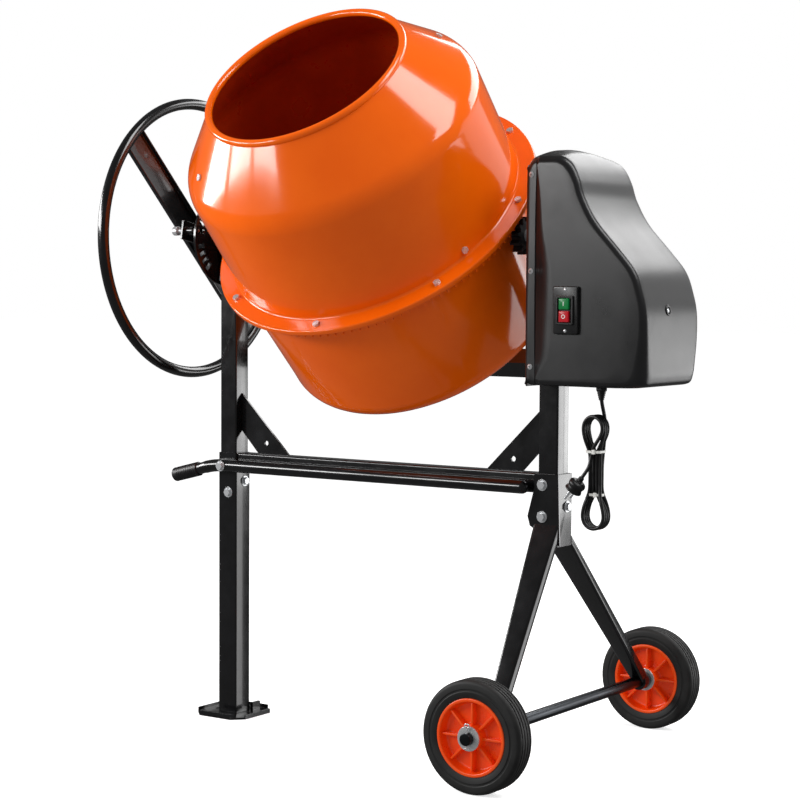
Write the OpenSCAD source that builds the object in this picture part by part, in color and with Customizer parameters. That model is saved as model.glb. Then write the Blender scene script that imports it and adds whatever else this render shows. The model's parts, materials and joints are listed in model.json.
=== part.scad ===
// Portable tilting-drum concrete mixer, millimetres, +Z up.
// Origin: centre of the foot plate's underside. +X runs along the tilt axis to the wheel side.

/* [Frame] */
// Free width between the drum flange and the two upright centres, both sides together
side_room = 99; // [96:1:140]
// Height of the tilt axis above the ground
axis_h = 967.5; // [940:0.5:1170]
// Side of the square upright tube
post_s = 40.4; // [36:0.2:44]
// Wall of the foot leg tube that sleeves the left upright
leg_wall = 2.35; // [2:0.05:4]
// Wall of the stand's socket round the right upright
sock_wall = 4.8; // [3:0.1:7]
// Top height of the lower rail
rail_top = 535; // [500:1:560]
// Side of the square foot plate
foot_s = 124; // [110:1:160]
// Diameter of the round carry bar
bar_d = 25; // [20:1:30]

/* [Drum] */
// Rest lean of the drum axis from vertical
drum_lean = 42.5; // [30:0.5:50]
// Radius of the rolled mouth bead centreline
mouth_r = 192; // [170:1:210]
// Distance from the tilt axis to the mouth bead along the drum axis
mouth_l = 384; // [360:1:400]
// Outer radius of the belly
belly_r = 290; // [250:1:350]
// Distance from the tilt axis to the belly corner
belly_l = 275; // [240:1:290]
// Width of the bolted flange beyond the belly
flange_w = 34; // [30:1:40]
// Depth of the lower shell below the tilt axis
bottom_l = 223; // [200:1:230]
// Shell thickness
shell_t = 3; // [2:0.5:4]

/* [Handwheel] */
// Centreline radius of the handwheel ring
hand_r = 273; // [240:1:285]
// Radius of the handwheel ring tube
hand_tube_r = 11; // [9:0.5:14]
// Distance of the handwheel plane outside the left upright centre
hand_x = 105; // [100:1:120]

/* [Wheels] */
// Outer radius of the tyres
wheel_r = 100; // [90:1:120]
// Tyre width
tyre_w = 47; // [40:1:55]
// Outer face of the front wheel, in front of the uprights
front_face = 288; // [280:1:310]
// Inner face of the rear wheel, behind the uprights
rear_face = 358; // [350:1:380]

/* [Drive] */
// Pinion teeth
pinion_n = 12; // [12:1:12]
// Ring gear tooth pitch along its middle circle
gear_pitch = 16.05; // [15.8:0.05:16.3]
// Radius of the large belt pulley
pulley_r = 90; // [75:1:108]
// Room between the large pulley and the drive housing's sides
house_room = 15; // [12:1:25]

/* [Hidden] */
$fn = 72;
post_half = post_s / 2;
// sliding gap between the left upright and its foot leg
sleeve_gap = 0.25;
leg_half = post_half + sleeve_gap + leg_wall;
sock_half = post_half + sock_wall;
// the handle bar lies against the uprights, one running gap in front
bar_z = rail_top - 25;
bar_y = -leg_half - bar_d / 2 - 0.3;
bolt_r = 4.2;
leg_bolt_x = 3;
leg_bolt_z = [bar_z, rail_top - 80];
stand_bolt_z = [rail_top - 20, rail_top - 78];
flange_r = belly_r + flange_w;
post_gap = 2 * flange_r + side_room;
drum_x = post_gap / 2 - 1.5;
flange_t = 57;
ring_r0 = belly_r + 1.5;
ring_n = round(2 * PI * (ring_r0 + 10) / gear_pitch);
flange_bolt_a = 6;
flange_bolt_r = (flange_r + ring_r0) / 2 - 1.5;
cone_a = atan((belly_r - mouth_r) / (mouth_l - belly_l));
corner_r = 62;
corner_t = corner_r * tan(cone_a / 2);
low_r = belly_r - 9;
low_corner = 40;
// tilt trunnions and their bearings
trunnion_l = 20;
trunnion_r = 25;
shaft_r = 12.5;
run_gap = 0.05;
arm_w = 40;
arm_t = 16;
arm_l0 = drum_x - flange_r - 6;
arm_r0 = drum_x + flange_r + 7.5;
cross_l = bottom_l + 107;
hand_shaft_r = 15;
lock_r = 78;
lock_a = 170;
// tilt positions of the lock disc's slots
slots = [-33.75, -22.5, -11.25, 0, 22.5, 33.75, 45, 56.25, 90];
lock_pin_r = 3.5;
bracket_x = -hand_x + 42;
belt_gap = 182;
motor_z = axis_h - belt_gap;
motor_x = post_gap + post_half;
motor_shaft_r = 7;
belt_x0 = post_gap + 30;
belt_x1 = post_gap + 50;
small_r = pulley_r / 10;
pinion_x = drum_x + ring_r0 + 5;
axle_x = post_gap + 7;
axle_r = 11;
front_leg_y = front_face - tyre_w - 5;
rear_leg_y = rear_face - 5;
rim_r = wheel_r - 31.5;
hub_r = 21;
house_y = pulley_r + house_room;
house_t = 3;
house_h = 402;
tray_d = 24;
house_x = post_gap - 3;
floor_z = axis_h - 267.5;
screw_z = [floor_z + 33, floor_z + 202, floor_z + 372];
switch_x = post_gap + 85;
switch_z = axis_h - 133.5;
button_z = [switch_z + 11, switch_z - 11];
gland_x = post_gap + 141;
gland_y = -78;
cord_r = 3.5;
hank_top = floor_z - 47;
hank_h = 206;
hank_x = gland_x - 9;
hank_half = 14;

black = [0.05, 0.05, 0.055];
orange = [0.95, 0.33, 0.05];
zinc = [0.72, 0.73, 0.75];
iron = [0.17, 0.17, 0.18];

// ---- helpers ----
module xcyl(r, x0, x1, y = 0, z = axis_h) {
  translate([x0, y, z]) rotate([0, 90, 0]) cylinder(r = r, h = x1 - x0);
}
module ycyl(r, y0, y1, x, z) {
  translate([x, y1, z]) rotate([90, 0, 0]) cylinder(r = r, h = y1 - y0);
}
module box(x0, x1, y0, y1, z0, z1) {
  translate([x0, y0, z0]) cube([x1 - x0, y1 - y0, z1 - z0]);
}
// drum frame: origin on the tilt axis, z' along the drum axis, x' along the tilt axis
module lean() {
  translate([drum_x, 0, axis_h]) rotate([drum_lean, 0, 0]) children();
}
function arc(cx, cy, r, a0, a1, n) =
  [for (i = [0:n]) [cx + r * cos(a0 + (a1 - a0) * i / n), cy + r * sin(a0 + (a1 - a0) * i / n)]];

// ---- frame ----
module foot_plate() {
  s = foot_s / 2;
  c = 22;
  color(black) difference() {
    union() {
      linear_extrude(4)
        polygon([[-s + c, -s], [s - c, -s], [s, -s + c], [s, s - c], [s - c, s], [-s + c, s],
                 [-s, s - c], [-s, -s + c]]);
      box(-s + c, s - c, -s, -s + 3, 4, 11);
      box(-s, -s + 3, -s + c, s - c, 4, 11);
      box(-s + c, s - c, s - 3, s, 4, 11);
      box(s - 3, s, -s + c, s - c, 4, 9);
      box(24, 30, 24, 48, 4, 20);
    }
    for (x = [-42, 42]) translate([x, 0, -1]) cylinder(r = 5.5, h = 6);
    for (y = [-42, 42]) translate([0, y, -1]) cylinder(r = 5.5, h = 6);
  }
}
module left_leg() {
  i = post_half + sleeve_gap;
  color(black) difference() {
    box(-leg_half, leg_half, -leg_half, leg_half, 4, rail_top);
    box(-i, i, -i, i, 3, rail_top + 1);
    // clears the rail end
    box(i - 1, leg_half + 1, -18.3, 18.3, rail_top - 36.3, rail_top + 1);
    for (z = leg_bolt_z) ycyl(bolt_r, -leg_half - 1, -i + 1, leg_bolt_x, z);
    xcyl(bolt_r, i - 1, leg_half + 1, 5, rail_top - 58);
  }
}
module left_post() {
  color(black) difference() {
    box(-post_half, post_half, -post_half, post_half, 330, axis_h);
    box(-post_half + 2.5, post_half - 2.5, -post_half + 2.5, post_half - 2.5, 329, axis_h - 36);
    xcyl(32, -post_half - 1, post_half + 1);
    for (z = leg_bolt_z) ycyl(bolt_r, -post_half - 1, -post_half + 4, leg_bolt_x, z);
    xcyl(bolt_r, post_half - 4, post_half + 1, 5, rail_top - 58);
  }
}
module right_post() {
  x = post_gap;
  i = post_half - 2.5;
  color(black) difference() {
    box(x - post_half, x + post_half, -post_half, post_half, rail_top - 131, axis_h);
    box(x - i, x + i, -i, i, rail_top - 132, axis_h - 42);
    xcyl(37, x - post_half - 1, x + post_half + 1);
    for (z = stand_bolt_z) ycyl(bolt_r, -post_half - 1, -post_half + 4, x - 8, z);
    xcyl(bolt_r, x + post_half - 4, x + post_half + 1, 8, rail_top - 60);
  }
}
module lower_rail() {
  color(black) difference() {
    box(post_half, post_gap - post_half, -18, 18, rail_top - 36, rail_top);
    box(post_half - 1, post_gap - post_half + 1, -15.5, 15.5, rail_top - 33.5, rail_top - 2.5);
  }
}
module brace_shape() {
  translate([0, 2.5, 0]) rotate([90, 0, 0]) linear_extrude(5)
    polygon([[post_half, rail_top + 46], [post_half, rail_top + 121], [142, rail_top], [64, rail_top]]);
}
module left_brace() {
  color(black) difference() {
    brace_shape();
    ycyl(5, -4, 4, 84, rail_top + 22);
  }
}
module right_brace() {
  color(black) difference() {
    translate([post_gap, 0, 0]) mirror([1, 0, 0]) brace_shape();
    ycyl(5, -4, 4, post_gap - 84, rail_top + 22);
  }
}
module carry_bar() {
  color(black) difference() {
    union() {
      xcyl(bar_d / 2, -30, post_gap - 32, bar_y, bar_z);
      // the swaged handle end is a little thinner
      translate([-22, bar_y, bar_z]) rotate([0, -104, 0]) cylinder(r = bar_d / 2 - 0.8, h = 96);
      for (x = [60, post_gap - 60]) ycyl(6, bar_y, -18, x, bar_z);
    }
    ycyl(bolt_r, bar_y - bar_d, bar_y + bar_d, leg_bolt_x, bar_z);
  }
}
module carry_grip() {
  color([0.06, 0.06, 0.06])
    translate([-22, bar_y, bar_z]) rotate([0, -104, 0]) difference() {
      union() {
        translate([0, 0, 42]) cylinder(r = bar_d / 2 + 2, h = 58);
        translate([0, 0, 96]) cylinder(r = bar_d / 2, h = 12);
      }
      translate([0, 0, 41]) cylinder(r = bar_d / 2 - 0.8, h = 55);
    }
}
module stand_socket() {
  x = post_gap;
  i = post_half;
  color(black) difference() {
    union() {
      box(x - sock_half, x + sock_half, -sock_half, sock_half, rail_top - 132, rail_top);
      // flared front plate
      translate([0, -sock_half + 4, 0]) rotate([90, 0, 0]) linear_extrude(4)
        polygon([[x - 18, rail_top], [x + sock_half, rail_top], [x + sock_half + 4, rail_top - 130],
                 [x - 34, rail_top - 96], [x - 39, rail_top - 78], [x - 30, rail_top - 44]]);
    }
    box(x - i, x + i, -i, i, rail_top - 133, rail_top + 1);
    box(x - sock_half - 1, x - i + 1, -18.3, 18.3, rail_top - 36.3, rail_top + 1);
    for (z = stand_bolt_z) ycyl(bolt_r, -sock_half - 1, -i + 1, x - 8, z);
    xcyl(bolt_r, x + i - 1, x + sock_half + 1, 8, rail_top - 60);
  }
}
// tapered leg: side outline points [y, z], half width and centre linear in z
module taper_leg(p, z0, z1) {
  function w(z) = 14 + 12 * (z - z0) / (z1 - z0);
  function c(z) = axle_x - 7 * (z - z0) / (z1 - z0);
  polyhedron(
    points = concat([for (q = p) [c(q[1]) - w(q[1]), q[0], q[1]]],
                    [for (q = p) [c(q[1]) + w(q[1]), q[0], q[1]]]),
    faces = [[3, 2, 1, 0], [4, 5, 6, 7], [0, 1, 5, 4], [1, 2, 6, 5], [2, 3, 7, 6], [3, 0, 4, 7]]);
}
module front_stand_leg() {
  s = sock_half;
  color(black) difference() {
    union() {
      taper_leg([[-s, rail_top - 92], [-s, rail_top - 128], [-front_leg_y + 22, wheel_r - 16],
                 [-front_leg_y, wheel_r - 10]], wheel_r - 16, rail_top - 92);
      ycyl(17, -front_leg_y, -front_leg_y + 26, axle_x, wheel_r);
    }
    ycyl(axle_r, -front_leg_y - 1, -front_leg_y + 80, axle_x, wheel_r);
  }
}
module rear_stand_leg() {
  s = sock_half;
  color(black) difference() {
    union() {
      taper_leg([[s, rail_top - 112], [rear_leg_y, wheel_r + 4], [rear_leg_y - 14, wheel_r - 14],
                 [s, rail_top - 132]], wheel_r - 14, rail_top - 112);
      ycyl(17, rear_leg_y - 26, rear_leg_y, axle_x, wheel_r);
    }
    ycyl(axle_r, rear_leg_y - 80, rear_leg_y + 1, axle_x, wheel_r);
  }
}
module axle() {
  color(zinc) difference() {
    ycyl(axle_r, -front_face - 16, rear_face + tyre_w + 16, axle_x, wheel_r);
    for (y = [-front_face - 9, rear_face + tyre_w + 9])
      translate([axle_x, y, wheel_r - 20]) cylinder(r = 2.05, h = 40);
  }
}
module axle_washers() {
  color(zinc) for (y = [-front_face - 5, -front_leg_y - 2.5, rear_face - 4.5, rear_face + tyre_w + 2.5])
    difference() {
      ycyl(hub_r + 1, y, y + 2.5, axle_x, wheel_r);
      ycyl(axle_r, y - 1, y + 4, axle_x, wheel_r);
    }
}
module cotter_pins() {
  color(zinc) for (y = [-front_face - 9, rear_face + tyre_w + 9])
    translate([axle_x, y, wheel_r - 19]) {
      cylinder(r = 2.05, h = 37);
      translate([0, 0, 40]) rotate([90, 0, 0]) rotate_extrude() translate([4, 0]) circle(r = 1.6, $fn = 16);
    }
}
module axle_fixings() {
  axle_washers();
  cotter_pins();
}
module hexbolt(l, r = bolt_r, af = 7.5, h = 5) {
  cylinder(r = af + 3, h = 1.6);
  translate([0, 0, 1.6]) cylinder(r = af, h = h, $fn = 6);
  translate([0, 0, -l]) cylinder(r = r, h = l);
}
module leg_bolts() {
  bar_front = bar_y - bar_d / 2;
  color(zinc) {
    // the upper bolt also holds the carry bar
    translate([leg_bolt_x, bar_front, bar_z]) rotate([90, 0, 0]) hexbolt(-post_half + 2 - bar_front);
    translate([leg_bolt_x, -leg_half, leg_bolt_z[1]]) rotate([90, 0, 0]) hexbolt(leg_half - post_half + 2);
    translate([leg_half, 5, rail_top - 58]) rotate([0, 90, 0]) hexbolt(leg_half - post_half + 2);
  }
}
module stand_bolts() {
  color(zinc) {
    for (z = stand_bolt_z)
      translate([post_gap - 8, -sock_half, z]) rotate([90, 0, 0]) hexbolt(sock_wall + 1.2);
    translate([post_gap + sock_half, 8, rail_top - 60]) rotate([0, 90, 0]) hexbolt(sock_wall + 1.2);
  }
}
module left_bearing() {
  color(iron) difference() {
    xcyl(32, -post_half, post_half);
    xcyl(trunnion_l + run_gap, -post_half - 1, post_half + 1);
  }
}
module right_bearing() {
  color(iron) difference() {
    xcyl(37, post_gap - post_half, post_gap + post_half);
    xcyl(trunnion_r + run_gap, post_gap - post_half - 1, post_gap + post_half + 1);
  }
}
module lock_disc() {
  color(black) difference() {
    union() {
      xcyl(95, -post_half - 8, -post_half - 3);
      xcyl(31, -post_half - 3, -post_half);
    }
    xcyl(trunnion_l + 0.5, -post_half - 9, post_half);
    for (a = slots) translate([-post_half - 9, 0, axis_h]) rotate([lock_a + a, 0, 0])
      translate([0, lock_r - 9, -4.5]) cube([7, 18, 9]);
  }
}

// ---- drive, fixed side ----
module motor_bracket() {
  color(iron) difference() {
    union() {
      box(motor_x, motor_x + 4, -75, 75, motor_z - 70, motor_z + 70);
      for (y = [-75, 71]) box(motor_x + 4, motor_x + 36, y, y + 4, motor_z - 65, motor_z - 8);
      box(motor_x + 36, motor_x + 40, -75, 75, motor_z - 70, motor_z + 50);
    }
    xcyl(22, motor_x + 35, motor_x + 41, 0, motor_z);
  }
}
module motor_body() {
  x = motor_x + 40;
  color(iron) difference() {
    union() {
      xcyl(62, x, x + 130, 0, motor_z);
      xcyl(50, x + 130, x + 145, 0, motor_z);
      for (a = [0:20:340]) translate([x + 8, 0, motor_z]) rotate([a, 0, 0])
        translate([0, -1.5, 60]) cube([108, 3, 6]);
    }
    xcyl(motor_shaft_r + run_gap, x - 1, x + 50, 0, motor_z);
  }
}
// housing side outlines [x, z] from the tray's inner face and the housing floor
function oz(k) = [for (q = k) [house_x + q[0], floor_z + q[1]]];
cover_out = [[tray_d, 0], [176, 0], [206, 4], [228, 16], [236, 49], [241, 87], [240, 129], [233, 162],
             [218, 202], [186, 240], [142, 288], [117, 330], [106, 362], [92, 390], [72, house_h],
             [tray_d, house_h]];
tray_out = [[10, 0], [tray_d, 0], [tray_d, house_h], [16, house_h - 2], [5, 390], [0, 375], [0, 10]];
function unit(v) = v / norm(v);
function left_of(v) = [-v[1], v[0]];
// outline moved inwards by the wall, for points in counterclockwise order
function inset(p, d) = let (n = len(p)) [for (i = [0:n - 1])
  let (a = left_of(unit(p[i] - p[(i + n - 1) % n])), b = left_of(unit(p[(i + 1) % n] - p[i])))
  p[i] + d * (a + b) / (1 + a * b)];
// room between the two half shells, open where they meet
module house_room_of(o, x0, x1) {
  prism_y(oz(inset(o, house_t)), house_y - house_t);
  box(house_x + x0, house_x + x1, house_t - house_y, house_y - house_t,
      floor_z + house_t, floor_z + house_h - house_t);
}
module prism_y(p, y) {
  translate([0, y, 0]) rotate([90, 0, 0]) linear_extrude(2 * y) polygon(p);
}
module housing_tray() {
  color(black) difference() {
    prism_y(oz(tray_out), house_y);
    house_room_of(tray_out, tray_d - 5, tray_d + 1);
    box(house_x - 1, house_x + tray_d + 1, -post_half - 0.4, post_half + 0.4, floor_z - 1, axis_h);
    xcyl(38, house_x - 1, house_x + tray_d + 1);
    for (z = screw_z) for (y = [-house_y - 1, house_y - 5]) ycyl(2.6, y, y + 6, house_x + 14, z);
  }
}
module housing_cover() {
  color(black) difference() {
    prism_y(oz(cover_out), house_y);
    house_room_of(cover_out, tray_d - 1, tray_d + 5);
    // switch, gland and motor vent openings
    box(switch_x - 17, switch_x + 17, -house_y - 1, -house_y + 4, switch_z - 30, switch_z + 30);
    translate([gland_x, gland_y, floor_z - 1]) cylinder(r = 9, h = 6);
    for (k = [0:4]) box(house_x + 90 + 20 * k, house_x + 100 + 20 * k, -20, 70, floor_z - 1, floor_z + 3.5);
  }
}
module housing_screws() {
  color(zinc) for (z = screw_z) for (s = [-1, 1])
    translate([house_x + 14, s * house_y, z]) rotate([s > 0 ? -90 : 90, 0, 0]) {
      cylinder(r = 5, h = 2.2);
      translate([0, 0, -4]) cylinder(r = 2.6, h = 4);
    }
}
module switch_plate() {
  y = -house_y;
  color([0.12, 0.12, 0.12]) difference() {
    union() {
      box(switch_x - 25, switch_x + 25, y - 7, y, switch_z - 42, switch_z + 42);
      box(switch_x - 18, switch_x + 18, y - 10, y - 7, switch_z - 23, switch_z + 23);
      box(switch_x - 16, switch_x + 16, y, y + 30, switch_z - 28, switch_z + 28);
    }
    for (z = button_z) box(switch_x - 10.3, switch_x + 10.3, y - 11, y + 12, z - 10.3, z + 10.3);
  }
}
module button(z) {
  y = -house_y;
  box(switch_x - 10, switch_x + 10, y - 13, y + 4, z - 10, z + 10);
}
module start_button() { color([0.05, 0.5, 0.15]) button(button_z[0]); }
module stop_button() { color([0.75, 0.05, 0.05]) button(button_z[1]); }
module cable_gland() {
  color([0.07, 0.07, 0.07]) translate([gland_x, gland_y, floor_z]) difference() {
    union() {
      translate([0, 0, -14]) cylinder(r = 10, h = 14);
      translate([0, 0, -9]) cylinder(r = 12, h = 5, $fn = 6);
      cylinder(r = 9, h = 8);
    }
    translate([0, 0, -15]) cylinder(r = cord_r, h = 24);
  }
}
// free cord: straight drop from the gland into the tied hank
lead_pts = [[gland_x, gland_y, floor_z + 6], [gland_x, gland_y, floor_z - 14], [gland_x, gland_y, floor_z - 26],
            [gland_x - 1, gland_y + 1, floor_z - 38], [gland_x - 3, gland_y + 2, hank_top - 0.4]];
function frame_at(p, i) =
  let (d = unit(p[min(i + 1, len(p) - 1)] - p[max(i - 1, 0)]), u = unit(cross(d, [0, 1, 0])))
  [u, cross(d, u)];
module sweep_tube(p, r, n = 10) {
  m = len(p);
  pts = [for (i = [0:m - 1]) let (f = frame_at(p, i)) for (k = [0:n - 1])
    p[i] + r * cos(360 * k / n) * f[0] + r * sin(360 * k / n) * f[1]];
  side = [for (i = [0:m - 2]) for (k = [0:n - 1])
    [i * n + k, i * n + (k + 1) % n, (i + 1) * n + (k + 1) % n, (i + 1) * n + k]];
  polyhedron(points = pts, faces = concat([[for (k = [0:n - 1]) n - 1 - k]], side,
    [[for (k = [0:n - 1]) (m - 1) * n + k]]), convexity = 4);
}
module cord_lead() { color([0.04, 0.04, 0.04]) sweep_tube(lead_pts, cord_r); }
// hank outline: loops at both ends, pinched between the ties
hank_n = 20;
loop_r = 23.5;
neck = 38;
waist = 7.4;
function ease(t) = (1 + cos(180 * min(1, max(0, t)))) / 2;
function hank_w(d) = waist + (loop_r - waist) * ease(min(d - loop_r, hank_h - loop_r - d) / neck);
function hank_d(i) = loop_r + (hank_h - 2 * loop_r) * i / hank_n;
hank_o = concat(
  arc(hank_x, hank_top - loop_r, loop_r, 0, 180, 10),
  [for (i = [1:hank_n - 1]) let (d = hank_d(i)) [hank_x - hank_w(d), hank_top - d]],
  arc(hank_x, hank_top - hank_h + loop_r, loop_r, 180, 360, 10),
  [for (i = [1:hank_n - 1]) let (d = hank_d(hank_n - i)) [hank_x + hank_w(d), hank_top - d]]);
module hank_solid() {
  translate([0, gland_y + hank_half, 0]) rotate([90, 0, 0]) linear_extrude(2 * hank_half) polygon(hank_o);
}
module cord_hank() {
  color([0.04, 0.04, 0.04]) hank_solid();
}
tie_w = 8;
tie_t = 2;
module cord_ties() {
  color([0.9, 0.9, 0.9]) for (d = [66, 142])
    difference() {
      box(hank_x - waist - tie_t, hank_x + waist + tie_t, gland_y - hank_half - tie_t,
          gland_y + hank_half + tie_t, hank_top - d - tie_w / 2, hank_top - d + tie_w / 2);
      hank_solid();
    }
}
plug_r = 16;
module cord_plug() {
  color([0.05, 0.05, 0.05])
    translate([hank_x - waist - plug_r / 2 - 0.4, gland_y, hank_top - 112]) rotate([0, -143, 0]) {
      cylinder(r = 5.5, h = 9);
      translate([0, 0, 8]) cylinder(r = plug_r, h = 22);
      for (y = [-9.5, 9.5]) translate([0, y, 29]) cylinder(r = 2.4, h = 19);
    }
}
// open belt loop outline round both pulleys, [y, z] offsets
function belt_o(r0, r1) = let (b = asin((r1 - r0) / belt_gap)) concat(
  arc(0, belt_gap, r1, -b, 180 + b, 40), arc(0, 0, r0, 180 + b, 360 - b, 12));
module drive_belt() {
  color([0.05, 0.05, 0.05]) translate([belt_x0 + 3, 0, motor_z]) rotate([90, 0, 90]) difference() {
    linear_extrude(14) polygon(belt_o(small_r + 3.3, pulley_r + 3.3));
    translate([0, 0, -1]) linear_extrude(16) polygon(belt_o(small_r + 0.4, pulley_r + 0.4));
  }
}
module motor_shaft() { color(zinc) xcyl(motor_shaft_r, belt_x0 - 2, motor_x + 86, 0, motor_z); }
module motor_pulley() {
  color(iron) difference() {
    union() {
      xcyl(small_r, belt_x0, belt_x1, 0, motor_z);
      xcyl(small_r + 3, belt_x0, belt_x0 + 2, 0, motor_z);
      xcyl(small_r + 3, belt_x1 - 2, belt_x1, 0, motor_z);
    }
    xcyl(motor_shaft_r, belt_x0 - 1, belt_x1 + 1, 0, motor_z);
  }
}

// ---- yoke and handwheel ----
module arm_plate(x0, x1) {
  // plate in the drum frame from the pivot to the cross tube
  translate([x0 - drum_x, -arm_w / 2, -cross_l - arm_w / 2]) cube([x1 - x0, arm_w, cross_l + arm_w / 2]);
  translate([x0 - drum_x, 0, 0]) rotate([0, 90, 0]) cylinder(r = 30, h = x1 - x0);
}
module yoke_left_arm() {
  color(black) union() {
    lean() arm_plate(arm_l0 - arm_t, arm_l0);
    xcyl(trunnion_l, -post_half - 11, arm_l0 - arm_t + 1);
    xcyl(hand_shaft_r, -hand_x - 7, -post_half - 10);
  }
}
module yoke_right_arm() {
  color(black) difference() {
    union() {
      lean() arm_plate(arm_r0, arm_r0 + arm_t);
      xcyl(trunnion_r, arm_r0 + arm_t - 1, motor_x);
    }
    xcyl(shaft_r + run_gap, arm_r0 - 1, motor_x + 1);
  }
}
module yoke_cross_tube() {
  color(black) lean() difference() {
    translate([arm_l0 - drum_x, -20, -cross_l - 20]) cube([arm_r0 - arm_l0, 40, 40]);
    translate([arm_l0 - drum_x - 1, -17, -cross_l - 17]) cube([arm_r0 - arm_l0 + 2, 34, 34]);
  }
}
module drum_spindle() {
  color(iron) lean() {
    translate([0, 0, -cross_l + 20]) cylinder(r = 36, h = 8);
    translate([0, 0, -cross_l + 28]) cylinder(r = 20, h = cross_l - 28 - bottom_l - 5);
  }
}
module handwheel_rim() {
  color(black) translate([-hand_x, 0, axis_h]) rotate([0, 90, 0])
    rotate_extrude($fn = 96) translate([hand_r, 0]) circle(r = hand_tube_r, $fn = 32);
}
module handwheel_bar() {
  r = hand_r - hand_tube_r;
  color(black) translate([-hand_x, 0, axis_h]) rotate([134.5, 0, 0]) difference() {
    union() {
      intersection() {
        translate([-2, -r - 5, -29]) cube([4, 2 * r + 10, 58]);
        translate([-3, 0, 0]) rotate([0, 90, 0]) cylinder(r = r, h = 6);
      }
      for (s = [-1, 1]) translate([-2, -r + 20, s * 27.5 - 1.5]) cube([12, 2 * r - 40, 3]);
    }
    translate([-15, 0, 0]) rotate([0, 90, 0]) cylinder(r = hand_shaft_r, h = 30);
  }
}
module handwheel_hub() {
  color(iron) difference() {
    xcyl(24, -hand_x + 2, -hand_x + 42);
    xcyl(hand_shaft_r, -hand_x, -hand_x + 44);
  }
}
// place on the lock's line, x along the tilt axis, y outwards from it
module at_lock(x) {
  translate([x, 0, axis_h]) rotate([lock_a, 0, 0]) children();
}
// rod along the tilt axis at the lock's radius
module lock_rod(r, x, l) {
  at_lock(x) translate([0, lock_r, 0]) rotate([0, 90, 0]) cylinder(r = r, h = l);
}
module lock_bracket() {
  color(black) difference() {
    union() {
      at_lock(bracket_x) translate([0, -22, -19]) cube([4, lock_r + 37, 38]);
      lock_rod(9, bracket_x + 3, 19);
    }
    xcyl(hand_shaft_r, bracket_x - 1, bracket_x + 5);
    lock_rod(lock_pin_r + run_gap, bracket_x - 1, 26);
  }
}
module lock_pin() {
  color(zinc) {
    lock_rod(lock_pin_r, -hand_x + 22, hand_x - 22 - post_half - 10);
    lock_rod(9, -hand_x + 12, 11);
  }
}

// ---- drum ----
up_o = concat([[belly_r, flange_t - 3]],
  arc(belly_r - corner_r, belly_l - corner_t, corner_r, 0, cone_a, 7), [[mouth_r, mouth_l]]);
module shell_of(o, t) {
  n = len(o);
  rotate_extrude($fn = 120) polygon(concat(o, [for (i = [0:n - 1]) [o[n - 1 - i][0] - t, o[n - 1 - i][1]]]));
}
// bolt stations on the wall: [angle, distance along axis, radius, outward tilt of the wall]
function wall_r(l) = l < belly_l ? belly_r : belly_r - (l - belly_l) * tan(cone_a);
blade_st = [[50, 315, cone_a], [-24, 70, 0], [230, 315, cone_a], [156, 70, 0]];
module at_wall(s) {
  rotate([0, 0, s[0]]) translate([wall_r(s[1]), 0, s[1]]) rotate([0, 90 - s[2], 0]) children();
}
module drum_upper_shell() {
  color(orange) lean() difference() {
    union() {
      shell_of(up_o, shell_t);
      rotate_extrude($fn = 120) translate([mouth_r - 1, mouth_l]) circle(r = 7, $fn = 32);
      translate([0, 0, flange_t - 3]) difference() {
        cylinder(r = flange_r, h = 3, $fn = 120);
        translate([0, 0, -1]) cylinder(r = belly_r - 1, h = 5, $fn = 120);
      }
      // turned-down lip
      translate([0, 0, flange_t - 10]) difference() {
        cylinder(r = flange_r, h = 8, $fn = 120);
        translate([0, 0, -1]) cylinder(r = flange_r - 2, h = 10, $fn = 120);
      }
    }
    for (k = [0:7]) rotate([0, 0, flange_bolt_a + 45 * k]) translate([flange_bolt_r, 0, flange_t - 5])
      cylinder(r = 4, h = 8);
    for (s = blade_st) at_wall(s) translate([0, 0, -8]) cylinder(r = 4, h = 12);
  }
}
lo_o = concat([[belly_r, flange_t - 3], [low_r, low_corner - bottom_l]],
  arc(low_r - low_corner, low_corner - bottom_l, low_corner, -10, -90, 7));
lo_i = concat(
  arc(low_r - low_corner, low_corner - bottom_l, low_corner - shell_t, -90, -10, 7),
  [[low_r - shell_t, low_corner - bottom_l], [belly_r - shell_t, flange_t - 3]]);
module drum_lower_shell() {
  color(orange) lean() difference() {
    union() {
      rotate_extrude($fn = 120) polygon(concat(lo_o, lo_i));
      translate([0, 0, flange_t - 6]) difference() {
        cylinder(r = flange_r - 3, h = 3, $fn = 120);
        translate([0, 0, -1]) cylinder(r = belly_r - 1, h = 5, $fn = 120);
      }
    }
    for (k = [0:7]) rotate([0, 0, flange_bolt_a + 45 * k]) translate([flange_bolt_r, 0, flange_t - 8])
      cylinder(r = 4, h = 8);
  }
}
// the flat bottom is pressed in one with the lower shell, and meets its corner face to face
module drum_bottom() {
  color(orange) lean() translate([0, 0, -bottom_l])
    cylinder(r = low_r - low_corner, h = shell_t, $fn = 120);
}
module drum_hub() {
  color(iron) lean() difference() {
    union() {
      translate([0, 0, -bottom_l - 10]) cylinder(r = 80, h = 10);
      translate([0, 0, -bottom_l - 60]) cylinder(r = 42, h = 52);
    }
    translate([0, 0, -bottom_l - 61]) cylinder(r = 20.05, h = 57);
  }
}
// a point on radius r at angle a, moved sideways by t
function side_pt(r, a, t) = [r * cos(a) - t * sin(a), r * sin(a) + t * cos(a)];
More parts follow.
